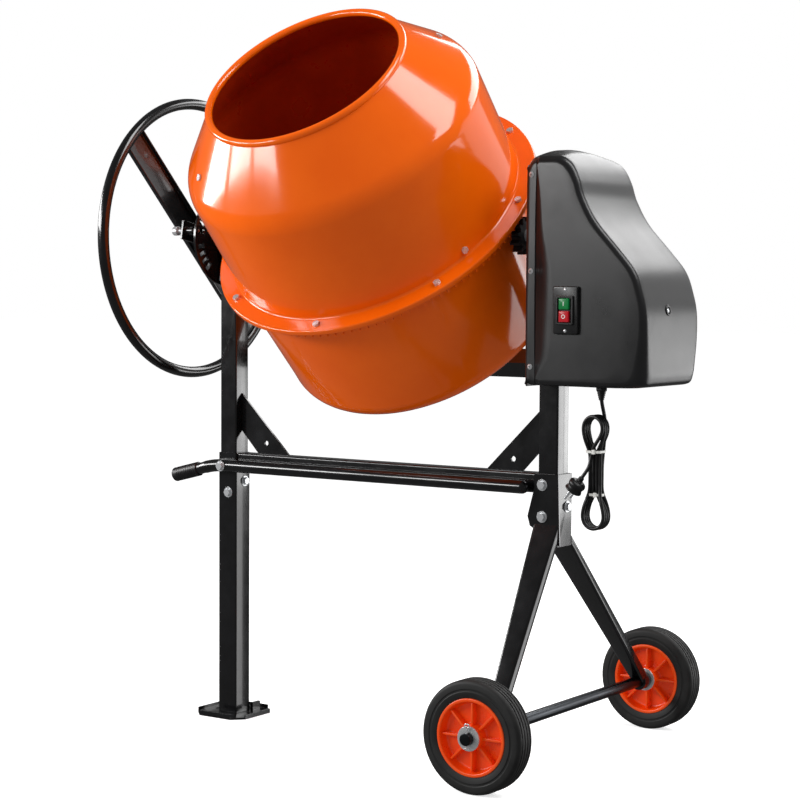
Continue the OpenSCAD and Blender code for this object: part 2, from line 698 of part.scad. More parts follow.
// outline of a straight-sided tooth ring, half thickness t
function ring_pts(ri, ro, t) = [for (k = [0:ring_n - 1]) let (a = 360 * k / ring_n)
  each [side_pt(ri, a, -t), side_pt(ro, a, -t), side_pt(ro, a, t), side_pt(ri, a, t)]];
module ring_gear() {
  color(iron) lean() difference() {
    union() {
      translate([0, 0, 27.5]) linear_extrude(13) polygon(ring_pts(ring_r0 + 3, flange_r - 16, 2.5));
      translate([0, 0, 40]) cylinder(r = flange_r - 8, h = flange_t - 46, $fn = 120);
    }
    translate([0, 0, 20]) cylinder(r = ring_r0, h = 40, $fn = 120);
    for (k = [0:7]) rotate([0, 0, flange_bolt_a + 45 * k]) translate([flange_bolt_r, 0, 42])
      cylinder(r = 4, h = 12);
  }
}
module flange_bolts() {
  color(zinc) lean() for (k = [0:7]) rotate([0, 0, flange_bolt_a + 45 * k])
    translate([flange_bolt_r, 0, 0]) {
      translate([0, 0, 43]) cylinder(r = 4, h = flange_t - 43);
      translate([0, 0, flange_t]) cylinder(r = 7, h = 5, $fn = 6);
    }
}
// helical L-section blade: foot along the wall, web toward the axis
function blade_sec(a, l) = let (r = wall_in(l)) [
  [r - 1.5, a - 3.4, l], [r - 1.5, a + 3.4, l], [r - 5.5, a + 3.4, l], [r - 5.5, a - 2.6, l],
  [r - 78, a - 3.4, l], [r - 78, a - 4.6, l]];
function wall_in(l) = (l < belly_l - corner_t ? belly_r : l > belly_l + corner_t * cos(cone_a) ? wall_r(l)
  : belly_r - corner_r + sqrt(corner_r * corner_r - pow(l - belly_l + corner_t, 2)))
  - shell_t / cos(l > belly_l ? cone_a : 0) - 0.6;
function cyl(v) = [v[0] * cos(v[1]), v[0] * sin(v[1]), v[2]];
module blade(a0) {
  n = 14;
  l0 = 58;
  l1 = 328;
  pts = [for (i = [0:n]) let (l = l0 + (l1 - l0) * i / n, a = a0 - 24 + 74 * (l - 70) / 245)
    for (q = blade_sec(a, l)) cyl(q)];
  side = [for (i = [0:n - 1]) for (k = [0:5]) let (a = i * 6 + k, b = i * 6 + (k + 1) % 6)
    each [[a, b, b + 6], [a, b + 6, a + 6]]];
  polyhedron(points = pts, convexity = 6,
    faces = concat([[5, 4, 3, 2, 1, 0]], side, [[for (k = [0:5]) n * 6 + k]]));
}
module blade_holes() {
  for (s = blade_st) at_wall(s) translate([0, 0, -20]) cylinder(r = 4, h = 24);
}
module mixing_blade_a() {
  color([0.42, 0.03, 0.01]) lean() difference() { blade(0); blade_holes(); }
}
module mixing_blade_b() {
  color([0.42, 0.03, 0.01]) lean() difference() { blade(180); blade_holes(); }
}
module blade_bolts() {
  color(zinc) lean() for (s = blade_st) at_wall(s) {
    cylinder(r = 7, h = 4, $fn = 6);
    translate([0, 0, -13]) cylinder(r = 4, h = 13);
  }
}

// ---- pinion line ----
function pinion_pts() = [for (k = [0:pinion_n - 1]) let (a = 360 * (k + 0.5) / pinion_n) each [
  [26 * cos(a - 9.5), 26 * sin(a - 9.5)], [34.6 * cos(a - 3.2), 34.6 * sin(a - 3.2)],
  [34.6 * cos(a + 3.2), 34.6 * sin(a + 3.2)], [26 * cos(a + 9.5), 26 * sin(a + 9.5)]]];
module pinion() {
  color(iron) translate([pinion_x, 0, axis_h]) rotate([drum_lean, 0, 0]) rotate([0, 90, 0]) difference() {
    linear_extrude(20) rotate([0, 0, 180]) polygon(pinion_pts());
    translate([0, 0, -1]) cylinder(r = shaft_r, h = 22);
  }
}
module pinion_shaft() { color(zinc) xcyl(shaft_r, pinion_x - 4, belt_x1 + 6); }
module large_pulley() {
  color(iron) difference() {
    union() {
      xcyl(pulley_r, belt_x0, belt_x1);
      xcyl(pulley_r + 3, belt_x0, belt_x0 + 2);
      xcyl(pulley_r + 3, belt_x1 - 2, belt_x1);
    }
    difference() {
      xcyl(pulley_r - 8, belt_x0 + 12, belt_x1 + 1);
      xcyl(26, belt_x0 + 11, belt_x1 + 2);
    }
    xcyl(shaft_r, belt_x0 - 1, belt_x1 + 1);
    for (a = [0:60:300]) translate([belt_x0 - 1, 0, axis_h]) rotate([a, 0, 0]) translate([0, 54, 0])
      rotate([0, 90, 0]) cylinder(r = 14, h = 24);
  }
}

// ---- wheels ----
module tyre(y0) {
  w = tyre_w;
  translate([axle_x, y0 + w, wheel_r]) rotate([90, 0, 0]) rotate_extrude($fn = 96) polygon([
    [rim_r, 3], [rim_r + 12, 0], [wheel_r - 8, 1], [wheel_r - 2.5, 5], [wheel_r, 9],
    [wheel_r, w / 2 - 7], [wheel_r - 2.5, w / 2 - 6], [wheel_r - 2.5, w / 2 - 4], [wheel_r, w / 2 - 3],
    [wheel_r, w / 2 + 3], [wheel_r - 2.5, w / 2 + 4], [wheel_r - 2.5, w / 2 + 6], [wheel_r, w / 2 + 7],
    [wheel_r, w - 9], [wheel_r - 2.5, w - 5], [wheel_r - 8, w - 1], [rim_r + 12, w], [rim_r, w - 3]]);
}
module rim(y0) {
  w = tyre_w;
  translate([axle_x, y0 + w, wheel_r]) rotate([90, 0, 0]) difference() {
    union() {
      rotate_extrude($fn = 96) polygon([[axle_r + 0.1, 0], [hub_r, 0], [hub_r + 2, w / 2 - 4],
        [rim_r - 6, w / 2 - 4], [rim_r - 5, 2], [rim_r, 2], [rim_r, w - 2], [rim_r - 5, w - 2],
        [rim_r - 6, w / 2 + 4], [hub_r + 2, w / 2 + 4], [hub_r, w], [axle_r + 0.1, w]]);
      for (a = [0:45:315]) rotate([0, 0, a])
        translate([hub_r - 1, -2, 5]) cube([rim_r - hub_r - 3, 4, w - 10]);
    }
    for (a = [22.5:45:337.5]) rotate([0, 0, a])
      translate([(hub_r + rim_r) / 2 - 1, 0, -1]) cylinder(r = 6, h = w + 2);
  }
}
module front_rim() { color(orange) rim(-front_face); }
module front_tyre() { color([0.04, 0.04, 0.04]) tyre(-front_face); }
module rear_rim() { color(orange) rim(rear_face); }
module rear_tyre() { color([0.04, 0.04, 0.04]) tyre(rear_face); }

foot_plate();
left_leg();
left_post();
right_post();
lower_rail();
left_brace();
right_brace();
carry_bar();
carry_grip();
stand_socket();
front_stand_leg();
rear_stand_leg();
axle();
axle_fixings();
leg_bolts();
stand_bolts();
left_bearing();
right_bearing();
lock_disc();
motor_bracket();
motor_body();
housing_tray();
housing_cover();
housing_screws();
switch_plate();
cable_gland();
cord_lead();
cord_hank();
cord_ties();
cord_plug();
drive_belt();
yoke_left_arm();
yoke_right_arm();
yoke_cross_tube();
drum_spindle();
handwheel_rim();
handwheel_bar();
handwheel_hub();
lock_bracket();
lock_pin();
drum_upper_shell();
drum_lower_shell();
drum_bottom();
drum_hub();
ring_gear();
flange_bolts();
mixing_blade_a();
mixing_blade_b();
blade_bolts();
pinion();
pinion_shaft();
large_pulley();
motor_shaft();
motor_pulley();
front_rim();
front_tyre();
rear_rim();
rear_tyre();
start_button();
stop_button();
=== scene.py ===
"""Concrete mixer: detailed pieces, finishes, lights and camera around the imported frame."""
import json
import logging
import math
from dataclasses import dataclass
from enum import Enum

import bmesh
import bpy
import numpy as np
from mathutils import Matrix, Vector


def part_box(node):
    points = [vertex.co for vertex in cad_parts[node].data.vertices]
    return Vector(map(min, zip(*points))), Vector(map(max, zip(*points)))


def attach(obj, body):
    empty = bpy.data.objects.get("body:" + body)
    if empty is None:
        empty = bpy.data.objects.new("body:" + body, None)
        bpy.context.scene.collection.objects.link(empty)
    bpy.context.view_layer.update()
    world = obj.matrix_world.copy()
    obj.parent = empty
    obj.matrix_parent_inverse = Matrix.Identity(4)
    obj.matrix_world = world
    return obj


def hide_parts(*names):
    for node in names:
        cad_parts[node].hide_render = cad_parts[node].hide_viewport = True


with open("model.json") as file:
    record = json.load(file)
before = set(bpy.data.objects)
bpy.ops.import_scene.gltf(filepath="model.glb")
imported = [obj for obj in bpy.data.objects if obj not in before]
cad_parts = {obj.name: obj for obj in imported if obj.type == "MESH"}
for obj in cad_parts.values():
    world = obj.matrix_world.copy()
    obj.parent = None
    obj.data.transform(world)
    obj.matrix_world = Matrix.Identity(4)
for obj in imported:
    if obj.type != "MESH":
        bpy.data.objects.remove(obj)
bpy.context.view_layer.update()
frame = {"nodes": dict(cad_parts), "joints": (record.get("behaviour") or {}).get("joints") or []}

log = logging.getLogger("mixer")
TAU = 2.0 * math.pi
MM_PER_M = 1000.0
MERGE = 2e-6       # points nearer than this are one point
CAD_MERGE = 1e-5   # the same for a mesh that came from the CAD
Array = np.ndarray


# ---------------------------------------------------------------- places from the frame
def joint_place(name: str) -> tuple[Array, Array]:
    """Where a joint is.

    Args:
        name: the joint's name.

    Returns:
        Its position and its axis.
    """
    joint = next(j for j in frame["joints"] if j["name"] == name)
    return np.array(joint.get("pos_m", (0, 0, 0)), float), np.array(joint["axis"], float)


TILT_POS, _ = joint_place("drum_tilt")
DRUM_POS, DRUM_AXIS = joint_place("drum_spin")
AXIS_Z = float(TILT_POS[2])
POST_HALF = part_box("left_post")[1][0]
RIGHT_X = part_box("right_post")[0][0] + POST_HALF
RAIL_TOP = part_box("lower_rail")[1][2]


# ---------------------------------------------------------------- surfaces
@dataclass
class Skin:
    """A surface: its points and its faces, one index array for each face size."""

    points: Array
    faces: list[Array]
    finish: int = 0


def grid_quads(rows: int, cols: int, wrap_rows: bool, wrap_cols: bool) -> Array:
    """Quads that join a rows by cols grid of points, numbered row by row.

    Args:
        rows: number of rows.
        cols: number of points in a row.
        wrap_rows: joins the last row to the first.
        wrap_cols: joins the last point of a row to its first.

    Returns:
        An (n, 4) array of point numbers.
    """
    i = np.arange(rows if wrap_rows else rows - 1)[:, None]
    j = np.arange(cols if wrap_cols else cols - 1)[None, :]
    i2, j2 = (i + 1) % rows, (j + 1) % cols
    corners = [i * cols + j, i * cols + j2, i2 * cols + j2, i2 * cols + j]
    return np.stack([np.broadcast_to(c, (i.shape[0], j.shape[1])) for c in corners], -1).reshape(-1, 4)


def grid_skin(points: Array, wrap_rows: bool = False, wrap_cols: bool = False,
              caps: bool = False, finish: int = 0) -> Skin:
    """Skin over a grid of points.

    Args:
        points: (rows, cols, 3) grid.
        wrap_rows: joins the last row to the first.
        wrap_cols: joins the last point of a row to its first.
        caps: closes the first and the last row with one face each.
        finish: material number of the faces.

    Returns:
        The skin.
    """
    rows, cols = points.shape[:2]
    faces = [grid_quads(rows, cols, wrap_rows, wrap_cols)]
    if caps:
        ends = np.array([np.arange(cols)[::-1], (rows - 1) * cols + np.arange(cols)])
        faces.append(ends)
    return Skin(points.reshape(-1, 3), faces, finish)


def lathe(profile: Array, steps: int, closed: bool = True, finish: int = 0) -> Skin:
    """Turns a profile of (radius, height) round Z: x = r cos a, y = r sin a, z = height.

    Args:
        profile: (n, 2) points.
        steps: points round the turn.
        closed: joins the profile's last point to its first.
        finish: material number of the faces.

    Returns:
        The turned skin.
    """
    a = np.linspace(0, TAU, steps, endpoint=False)
    r, h = profile[:, :1], profile[:, 1:]
    points = np.stack([r * np.cos(a), r * np.sin(a), h + 0 * a], -1)
    return grid_skin(points, wrap_rows=closed, wrap_cols=True, finish=finish)


def arc(cx: float, cy: float, r: float, a0: float, a1: float, n: int) -> Array:
    """n points on a circle of radius r about (cx, cy), from angle a0 to a1 in degrees."""
    a = np.radians(np.linspace(a0, a1, n))
    return np.stack([cx + r * np.cos(a), cy + r * np.sin(a)], -1)


def unit(v: Array) -> Array:
    """Vectors along the last axis, each divided by its length."""
    return v / np.maximum(np.linalg.norm(v, axis=-1, keepdims=True), 1e-12)


def round_corners(outline: Array, radius: float | Array, n: int = 5) -> Array:
    """Outline with each corner swapped for an arc that touches both of its sides.

    The arc's centre is on the corner's bisector at radius / sin(half angle), and the arc turns
    evenly from one touching point to the other. The touching points stay within 0.48 of a side.

    Args:
        outline: (m, 2) closed outline.
        radius: one radius or one for each corner.
        n: points on each arc.

    Returns:
        (m * n, 2) outline.
    """
    before, after = np.roll(outline, 1, 0) - outline, np.roll(outline, -1, 0) - outline
    side_share, straight = 0.48, 0.9999
    room = side_share * np.minimum(np.linalg.norm(before, axis=1), np.linalg.norm(after, axis=1))
    u, v = unit(before), unit(after)
    half = 0.5 * np.arccos(np.clip((u * v).sum(1), -straight, straight))
    reach = np.minimum(np.broadcast_to(radius, half.shape) / np.tan(half), room)
    r = reach * np.tan(half)
    centre = outline + unit(u + v) * (r / np.sin(half))[:, None]
    start, end = outline + u * reach[:, None] - centre, outline + v * reach[:, None] - centre
    turn = math.pi - 2 * half
    t = np.linspace(0, 1, n)[None, :, None]
    w = turn[:, None, None]
    ring = (np.sin((1 - t) * w) * start[:, None] + np.sin(t * w) * end[:, None]) / np.sin(w)
    return (centre[:, None] + ring).reshape(-1, 2)


def inset(outline: Array, d: float) -> Array:
    """Outline moved inwards, so that each side moves by d.

    A point moves by d * (normal a + normal b) / (1 + normal a . normal b), where a and b are the
    sides that meet there. A divisor under 0.2, at a very sharp corner, counts as 0.2.

    Args:
        outline: (m, 2) closed counterclockwise outline.
        d: distance.

    Returns:
        (m, 2) outline.
    """
    sharpest = 0.2
    a = unit(outline - np.roll(outline, 1, 0))
    b = unit(np.roll(outline, -1, 0) - outline)
    na = np.stack([-a[:, 1], a[:, 0]], -1)
    nb = np.stack([-b[:, 1], b[:, 0]], -1)
    return outline + d * (na + nb) / np.maximum(1 + (na * nb).sum(1), sharpest)[:, None]


def rounded_prism(outline: Array, low: float, high: float, edge: float, n: int = 4) -> Skin:
    """Flat piece whose outline lies in X and Y, from height low to high, with rounded edges.

    Ring k of an edge is inset by edge * (1 - cos t) at height edge * (1 - sin t) from the face.

    Args:
        outline: (m, 2) counterclockwise outline.
        low: lower face's height.
        high: upper face's height.
        edge: edge radius.
        n: rings on each edge.

    Returns:
        A closed skin.
    """
    t = np.linspace(math.pi / 2, 0, n)
    insets = np.concatenate([edge * (1 - np.cos(t)), edge * (1 - np.cos(t[::-1]))])
    heights = np.concatenate([low + edge * (1 - np.sin(t)), high - edge * (1 - np.sin(t[::-1]))])
    rings = np.stack([np.column_stack([inset(outline, d), np.full(len(outline), h)])
                      for d, h in zip(insets, heights)])
    return grid_skin(rings, wrap_cols=True, caps=True)


def moved(skin: Skin, matrix: Matrix | Array) -> Skin:
    """Skin with its points put through a 4 by 4 matrix."""
    m = np.array(matrix)
    return Skin(skin.points @ m[:3, :3].T + m[:3, 3], skin.faces, skin.finish)


def smooth_line(points: Array, per_side: int) -> Array:
    """Open curve through points: on each side a cubic whose end slopes follow the neighbours.

    Args:
        points: (m, d) points to pass through.
        per_side: points drawn on each side.

    Returns:
        ((m - 1) * per_side + 1, d) points.
    """
    slope = np.gradient(points, axis=0)
    p, q, a, b = points[:-1, None], points[1:, None], slope[:-1, None], slope[1:, None]
    t = np.linspace(0, 1, per_side, endpoint=False)[None, :, None]
    curve = ((2 * t**3 - 3 * t**2 + 1) * p + (t**3 - 2 * t**2 + t) * a
             + (3 * t**2 - 2 * t**3) * q + (t**3 - t**2) * b)
    return np.concatenate([curve.reshape(-1, points.shape[1]), points[-1:]])


def tube(path: Array, radius: float | Array, sides: int = 20, up: tuple = (0, 0, 1)) -> Skin:
    """Round bar along a path, with flat ends.

    Each ring lies across the path's direction: its first axis is direction x up, its second the
    direction x first axis.

    Args:
        path: (n, 3) centre line.
        radius: one radius or one for each point.
        sides: points on a ring.
        up: any direction that the path never takes.

    Returns:
        A closed skin.
    """
    along = unit(np.gradient(path, axis=0))
    side = unit(np.cross(along, np.array(up, float)))
    top = np.cross(side, along)
    a = np.linspace(0, TAU, sides, endpoint=False)[None, :, None]
    r = np.broadcast_to(radius, (len(path),))[:, None, None]
    rings = path[:, None] + r * (np.cos(a) * side[:, None] + np.sin(a) * top[:, None])
    return grid_skin(rings, wrap_cols=True, caps=True)


def frame_matrix(origin: Array, z_axis: Array, x_hint: tuple = (1, 0, 0)) -> Array:
    """Matrix whose Z is z_axis and whose X is as near x_hint as it can be.

    Args:
        origin: its origin.
        z_axis: direction of Z, of any length.
        x_hint: direction that X should lie near.

    Returns:
        (4, 4) matrix.
    """
    z = unit(np.array(z_axis, float))
    x = np.array(x_hint, float)
    x = unit(x - z * (x @ z))
    m = np.eye(4)
    m[:3, 0], m[:3, 1], m[:3, 2], m[:3, 3] = x, np.cross(z, x), z, origin
    return m


DRUM_FRAME = frame_matrix(DRUM_POS, DRUM_AXIS)


def turned_x(x: float, y: float, z: float) -> Array:
    """Matrix that lays a Z-turned shape along +X at (x, y, z)."""
    return frame_matrix(np.array([x, y, z]), np.array([1, 0, 0]), (0, 1, 0))


def turned_y(x: float, y: float, z: float) -> Array:
    """Matrix that lays a Z-turned shape along +Y at (x, y, z)."""
    return frame_matrix(np.array([x, y, z]), np.array([0, 1, 0]), (1, 0, 0))


def chamfered(r_in: float, r_out: float, low: float, high: float, edge: float) -> Array:
    """Ring profile from r_in to r_out with its two outer corners rounded by edge."""
    return np.concatenate([[[r_in, low]], arc(r_out - edge, low + edge, edge, -90, 0, 5),
                           arc(r_out - edge, high - edge, edge, 0, 90, 5), [[r_in, high]]])


# ---------------------------------------------------------------- finishes
def colour(code: str) -> tuple[float, float, float, float]:
    """sRGB hex colour turned to linear.

    A share up to 0.04045 is divided by 12.92; above it is ((share + 0.055) / 1.055) to the 2.4.

    Args:
        code: colour as #rrggbb.

    Returns:
        Red, green, blue and an alpha of 1.
    """
    s = np.array([int(code[i:i + 2], 16) / 255 for i in (1, 3, 5)])
    lin = np.where(s <= 0.04045, s / 12.92, ((s + 0.055) / 1.055) ** 2.4)
    return (*map(float, lin), 1.0)


def node_in(tree: bpy.types.NodeTree, kind: str, settings: dict | None = None,
            inputs: dict | None = None) -> bpy.types.Node:
    """Adds a node with its settings and links.

    Args:
        tree: the node tree.
        kind: the node's type.
        settings: attributes to set.
        inputs: socket name or number to a value or to an output socket.

    Returns:
        The node.
    """
    made = tree.nodes.new(kind)
    for key, value in (settings or {}).items():
        setattr(made, key, value)
    for key, value in (inputs or {}).items():
        if isinstance(value, bpy.types.NodeSocket):
            tree.links.new(value, made.inputs[key])
        else:
            made.inputs[key].default_value = value
    return made


@dataclass(frozen=True)
class Finish:
    """A surface finish: colours, gloss and a fine and a coarse pattern sized in millimetres."""

    name: str
    base: str
    second: str
    rough: float
    rough_spread: float = 0.05
    metallic: float = 0.0
    ior: float = 1.5
    coat: float = 0.0
    coat_rough: float = 0.05
    grain_mm: float = 1.5
    grain_depth_mm: float = 0.01
    wave_mm: float = 90.0
    wave_depth_mm: float = 0.0
    stain_mm: float = 60.0
    stretch: tuple[float, float, float] = (1.0, 1.0, 1.0)

    def material(self) -> bpy.types.Material:
        """The finish as a node material, made once.

        Returns:
            The material.
        """
        known = bpy.data.materials.get(self.name)
        if known:
            return known
        mat = bpy.data.materials.new(self.name)
        mat.use_nodes = True
        tree = mat.node_tree
        tree.nodes.clear()
        place = node_in(tree, "ShaderNodeTexCoord")
        mapped = node_in(tree, "ShaderNodeMapping", inputs={0: place.outputs["Object"], 3: self.stretch})
        smoothest, tint_from, tint_to, rough_from, rough_to = 0.02, 0.35, 0.7, 0.3, 0.7
        stain = node_in(tree, "ShaderNodeTexNoise", inputs={
            "Vector": mapped.outputs[0], "Scale": MM_PER_M / self.stain_mm, "Detail": 5.0,
            "Roughness": 0.6})
        grain = node_in(tree, "ShaderNodeTexNoise", inputs={
            "Vector": mapped.outputs[0], "Scale": MM_PER_M / self.grain_mm, "Detail": 2.0})
        wave = node_in(tree, "ShaderNodeTexNoise", inputs={
            "Vector": mapped.outputs[0], "Scale": MM_PER_M / self.wave_mm, "Detail": 1.0})
        tint = node_in(tree, "ShaderNodeValToRGB", inputs={0: stain.outputs[0]})
        ends = ((tint_from, self.base), (tint_to, self.second))
        for stop, (position, code) in zip(tint.color_ramp.elements, ends):
            stop.position, stop.color = position, colour(code)
        rough = node_in(tree, "ShaderNodeMapRange", inputs={
            0: stain.outputs[0], 1: rough_from, 2: rough_to,
            3: max(smoothest, self.rough - self.rough_spread), 4: self.rough + self.rough_spread})
        coarse = node_in(tree, "ShaderNodeBump", inputs={
            "Strength": 1.0, "Distance": self.wave_depth_mm / MM_PER_M, "Height": wave.outputs[0]})
        fine = node_in(tree, "ShaderNodeBump", inputs={
            "Strength": 1.0, "Distance": self.grain_depth_mm / MM_PER_M, "Height": grain.outputs[0],
            "Normal": coarse.outputs[0]})
        shader = node_in(tree, "ShaderNodeBsdfPrincipled", inputs={
            "Base Color": tint.outputs[0], "Roughness": rough.outputs[0], "Normal": fine.outputs[0],
            "Metallic": self.metallic, "IOR": self.ior, "Coat Weight": self.coat,
            "Coat Roughness": self.coat_rough})
        out = node_in(tree, "ShaderNodeOutputMaterial")
        tree.links.new(shader.outputs[0], out.inputs[0])
        return mat


class Paint(Enum):
    """Every finish on the mixer, named for its real material and how its surface was made, and for
    painted shade where its colour is darkened to stand for shade.
    """

    # Gloss enamel baked on rolled sheet: deep colour, sharp highlights, a faint orange peel and
    # long waves
    ORANGE_ENAMEL = Finish("gloss_orange_enamel_on_rolled_sheet", "#f26004", "#f86705", 0.13, 0.02,
                           coat=0.3, coat_rough=0.04, grain_mm=3.0, grain_depth_mm=0.012,
                           wave_mm=120.0, wave_depth_mm=0.5, stain_mm=140.0)
    # The same enamel inside, painted darker and redder as the shade inside the drum, and rougher, so less
    # sharp
    SHADED_INSIDE_ENAMEL = Finish("enamel_inside_drum_darkened_as_painted_shade", "#d23c08", "#c23406", 0.3, 0.04,
                           coat=0.3, coat_rough=0.1, grain_mm=3.0, grain_depth_mm=0.02,
                           wave_mm=110.0, wave_depth_mm=0.5, stain_mm=70.0)
    # Dark red enamel on the pressed blades; its darkness is partly painted shade, the shaded colour
    # inside the drum
    SHADED_BLADE_ENAMEL = Finish("red_enamel_on_blades_darkened_as_painted_shade", "#7c1f06", "#5d1404", 0.33, 0.06,
                          coat=0.2, grain_mm=3.0, grain_depth_mm=0.02, stain_mm=40.0)
    # Stoved black enamel on welded tube: near mirror black with a faint orange peel
    BLACK_ENAMEL = Finish("gloss_black_enamel_on_tube", "#0b0b0c", "#121214", 0.2, 0.05,
                          coat=0.6, coat_rough=0.06, grain_mm=2.5, grain_depth_mm=0.004,
                          wave_mm=60.0, wave_depth_mm=0.05, stain_mm=45.0)
    # Bright zinc on pressed and turned steel: pale and a little cloudy, so part of its light is scattered
    ZINC = Finish("bright_zinc_plated_steel", "#e6e8ea", "#cfd2d5", 0.25, 0.06, metallic=0.6,
                  grain_mm=1.0, grain_depth_mm=0.01, stain_mm=8.0)
    # Drawn steel axle with fine lines along it
    DRAWN_STEEL = Finish("drawn_steel_axle", "#3f4246", "#303235", 0.32, 0.08, metallic=1.0,
                         grain_mm=1.2, grain_depth_mm=0.015, stain_mm=20.0, stretch=(1.0, 0.06, 1.0))
    # Sand cast iron, painted thinly dark: coarse skin, dull sheen; also the painted shade in the screws'
    # cross recesses
    CAST_IRON_AND_RECESS_SHADE = Finish("dark_sand_cast_iron_and_recess_shade", "#2a2b2d", "#1e1f20", 0.5, 0.1, metallic=0.35,
                       grain_mm=1.6, grain_depth_mm=0.12, stain_mm=25.0)
    # Moulded polypropylene with a fine spark texture: satin black with soft broad highlights
    MOULDED_BLACK = Finish("satin_moulded_polypropylene", "#19191a", "#1f1f20", 0.31, 0.04,
                           grain_mm=1.1, grain_depth_mm=0.02, wave_mm=150.0, wave_depth_mm=0.25,
                           stain_mm=110.0)
    # Smooth moulded switch body
    SWITCH_BLACK = Finish("smooth_moulded_switch_body", "#141415", "#19191a", 0.28, 0.03,
                          grain_mm=0.8, grain_depth_mm=0.006, stain_mm=20.0)
    # Solid moulded rubber: deep matt black that goes grey on the worn tread
    TYRE = Finish("solid_moulded_rubber_tyre", "#161616", "#212120", 0.62, 0.08, ior=1.52,
                  grain_mm=1.2, grain_depth_mm=0.05, stain_mm=30.0)
    # Moulded nylon wheel centre: bright orange, waxy gloss
    MOULDED_ORANGE = Finish("moulded_orange_wheel_centre", "#fb4c05", "#fd5608", 0.3, 0.05,
                            grain_mm=1.5, grain_depth_mm=0.01, stain_mm=30.0)
    # Extruded PVC sheath: black, half gloss, faint lines
    SHEATH = Finish("extruded_pvc_sheath", "#121213", "#1a1a1b", 0.38, 0.06,
                    grain_mm=1.0, grain_depth_mm=0.02, stain_mm=12.0)
    # Nylon cable tie: milky white
    TIE = Finish("white_nylon_tie", "#ecece8", "#deded8", 0.4, 0.05,
                 grain_mm=1.0, grain_depth_mm=0.02, stain_mm=6.0)
    # Glossy moulded push buttons
    GREEN = Finish("moulded_green_button", "#0c7a3c", "#0e8643", 0.25, 0.03,
                   grain_mm=1.0, grain_depth_mm=0.008, stain_mm=12.0)
    RED = Finish("moulded_red_button", "#c01322", "#cc1a28", 0.25, 0.03,
                 grain_mm=1.0, grain_depth_mm=0.008, stain_mm=12.0)
    # Printed white marks on the buttons
    MARK = Finish("white_pad_print", "#f2f2ee", "#e8e8e4", 0.4, 0.03, grain_mm=1.0, stain_mm=5.0)


# ---------------------------------------------------------------- making pieces
def make_piece(name: str, skins: list[Skin], paints: list[Paint], body: str,
               replaces: tuple[str, ...] = (), sharp_deg: float = 38.0) -> bpy.types.Object:
    """Joins skins into one mesh object, dresses it and lets it ride.

    Args:
        name: the object's name.
        skins: closed skins, each with a number into paints.
        paints: the finishes.
        body: the body that it rides on.
        replaces: CAD nodes that it stands for.
        sharp_deg: edges that turn by more than this stay crisp.

    Returns:
        The object.
    """
    start = np.cumsum([0] + [len(s.points) for s in skins])
    faces = [tuple(f) for s, k in zip(skins, start) for array in s.faces for f in (array + k).tolist()]
    finish = np.concatenate([np.full(sum(len(a) for a in s.faces), s.finish) for s in skins])
    mesh = bpy.data.meshes.new(name)
    mesh.from_pydata(np.concatenate([s.points for s in skins]).tolist(), [], faces)
    mesh.polygons.foreach_set("material_index", finish.astype(np.int32))
    return finish_piece(name, mesh, paints, body, replaces, sharp_deg)


def finish_piece(name: str, mesh: bpy.types.Mesh, paints: list[Paint], body: str,
                 replaces: tuple[str, ...], sharp_deg: float) -> bpy.types.Object:
    """Merges doubled points, turns faces outwards, shades, paints and rides a mesh.

    Args:
        name: the object's name.
        mesh: its mesh.
        paints: the finishes, in the order of the mesh's material numbers.
        body: the body that it rides on.
        replaces: CAD nodes that it stands for.
        sharp_deg: edges that turn by more than this stay crisp.

    Returns:
        The object.
    """
    work = bmesh.new()
    work.from_mesh(mesh)
    bmesh.ops.remove_doubles(work, verts=work.verts, dist=MERGE)
    bmesh.ops.recalc_face_normals(work, faces=work.faces)
    work.to_mesh(mesh)
    work.free()
    for paint in paints:
        mesh.materials.append(paint.value.material())
    mesh.shade_smooth()
    mesh.set_sharp_from_angle(angle=math.radians(sharp_deg))
    piece = bpy.data.objects.new(name, mesh)
    bpy.context.scene.collection.objects.link(piece)
    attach(piece, body)
    if replaces:
        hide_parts(*replaces)
    log.info("%s: %d faces on %s", name, len(mesh.polygons), body)
    return piece


def edged_copy(name: str, node: str, paint: Paint, body: str, edge: float,
               rings: int = 3) -> bpy.types.Object:
    """Copy of a CAD node with its flat faces joined and its sharp edges rounded by a bevel.

    Args:
        name: the new piece's name.
        node: the CAD node.
        paint: its finish.
        body: the body that it rides on.
        edge: bevel width.
        rings: bevel segments.

    Returns:
        The object.
    """
    flat_deg, sharp_deg = 1.0, 35.0
    mesh = frame["nodes"][node].data.copy()
    mesh.materials.clear()
    work = bmesh.new()
    work.from_mesh(mesh)
    bmesh.ops.remove_doubles(work, verts=work.verts, dist=CAD_MERGE)
    bmesh.ops.dissolve_limit(work, angle_limit=math.radians(flat_deg), verts=work.verts, edges=work.edges)
    work.to_mesh(mesh)
    work.free()
    mesh.polygons.foreach_set("material_index", np.zeros(len(mesh.polygons), np.int32))
    piece = finish_piece(name, mesh, [paint], body, (node,), sharp_deg)
    bevel = piece.modifiers.new("edges", "BEVEL")
    bevel.width = edge
    bevel.segments = rings
    bevel.limit_method = "ANGLE"
    bevel.angle_limit = math.radians(sharp_deg)
    bevel.harden_normals = True
    return piece


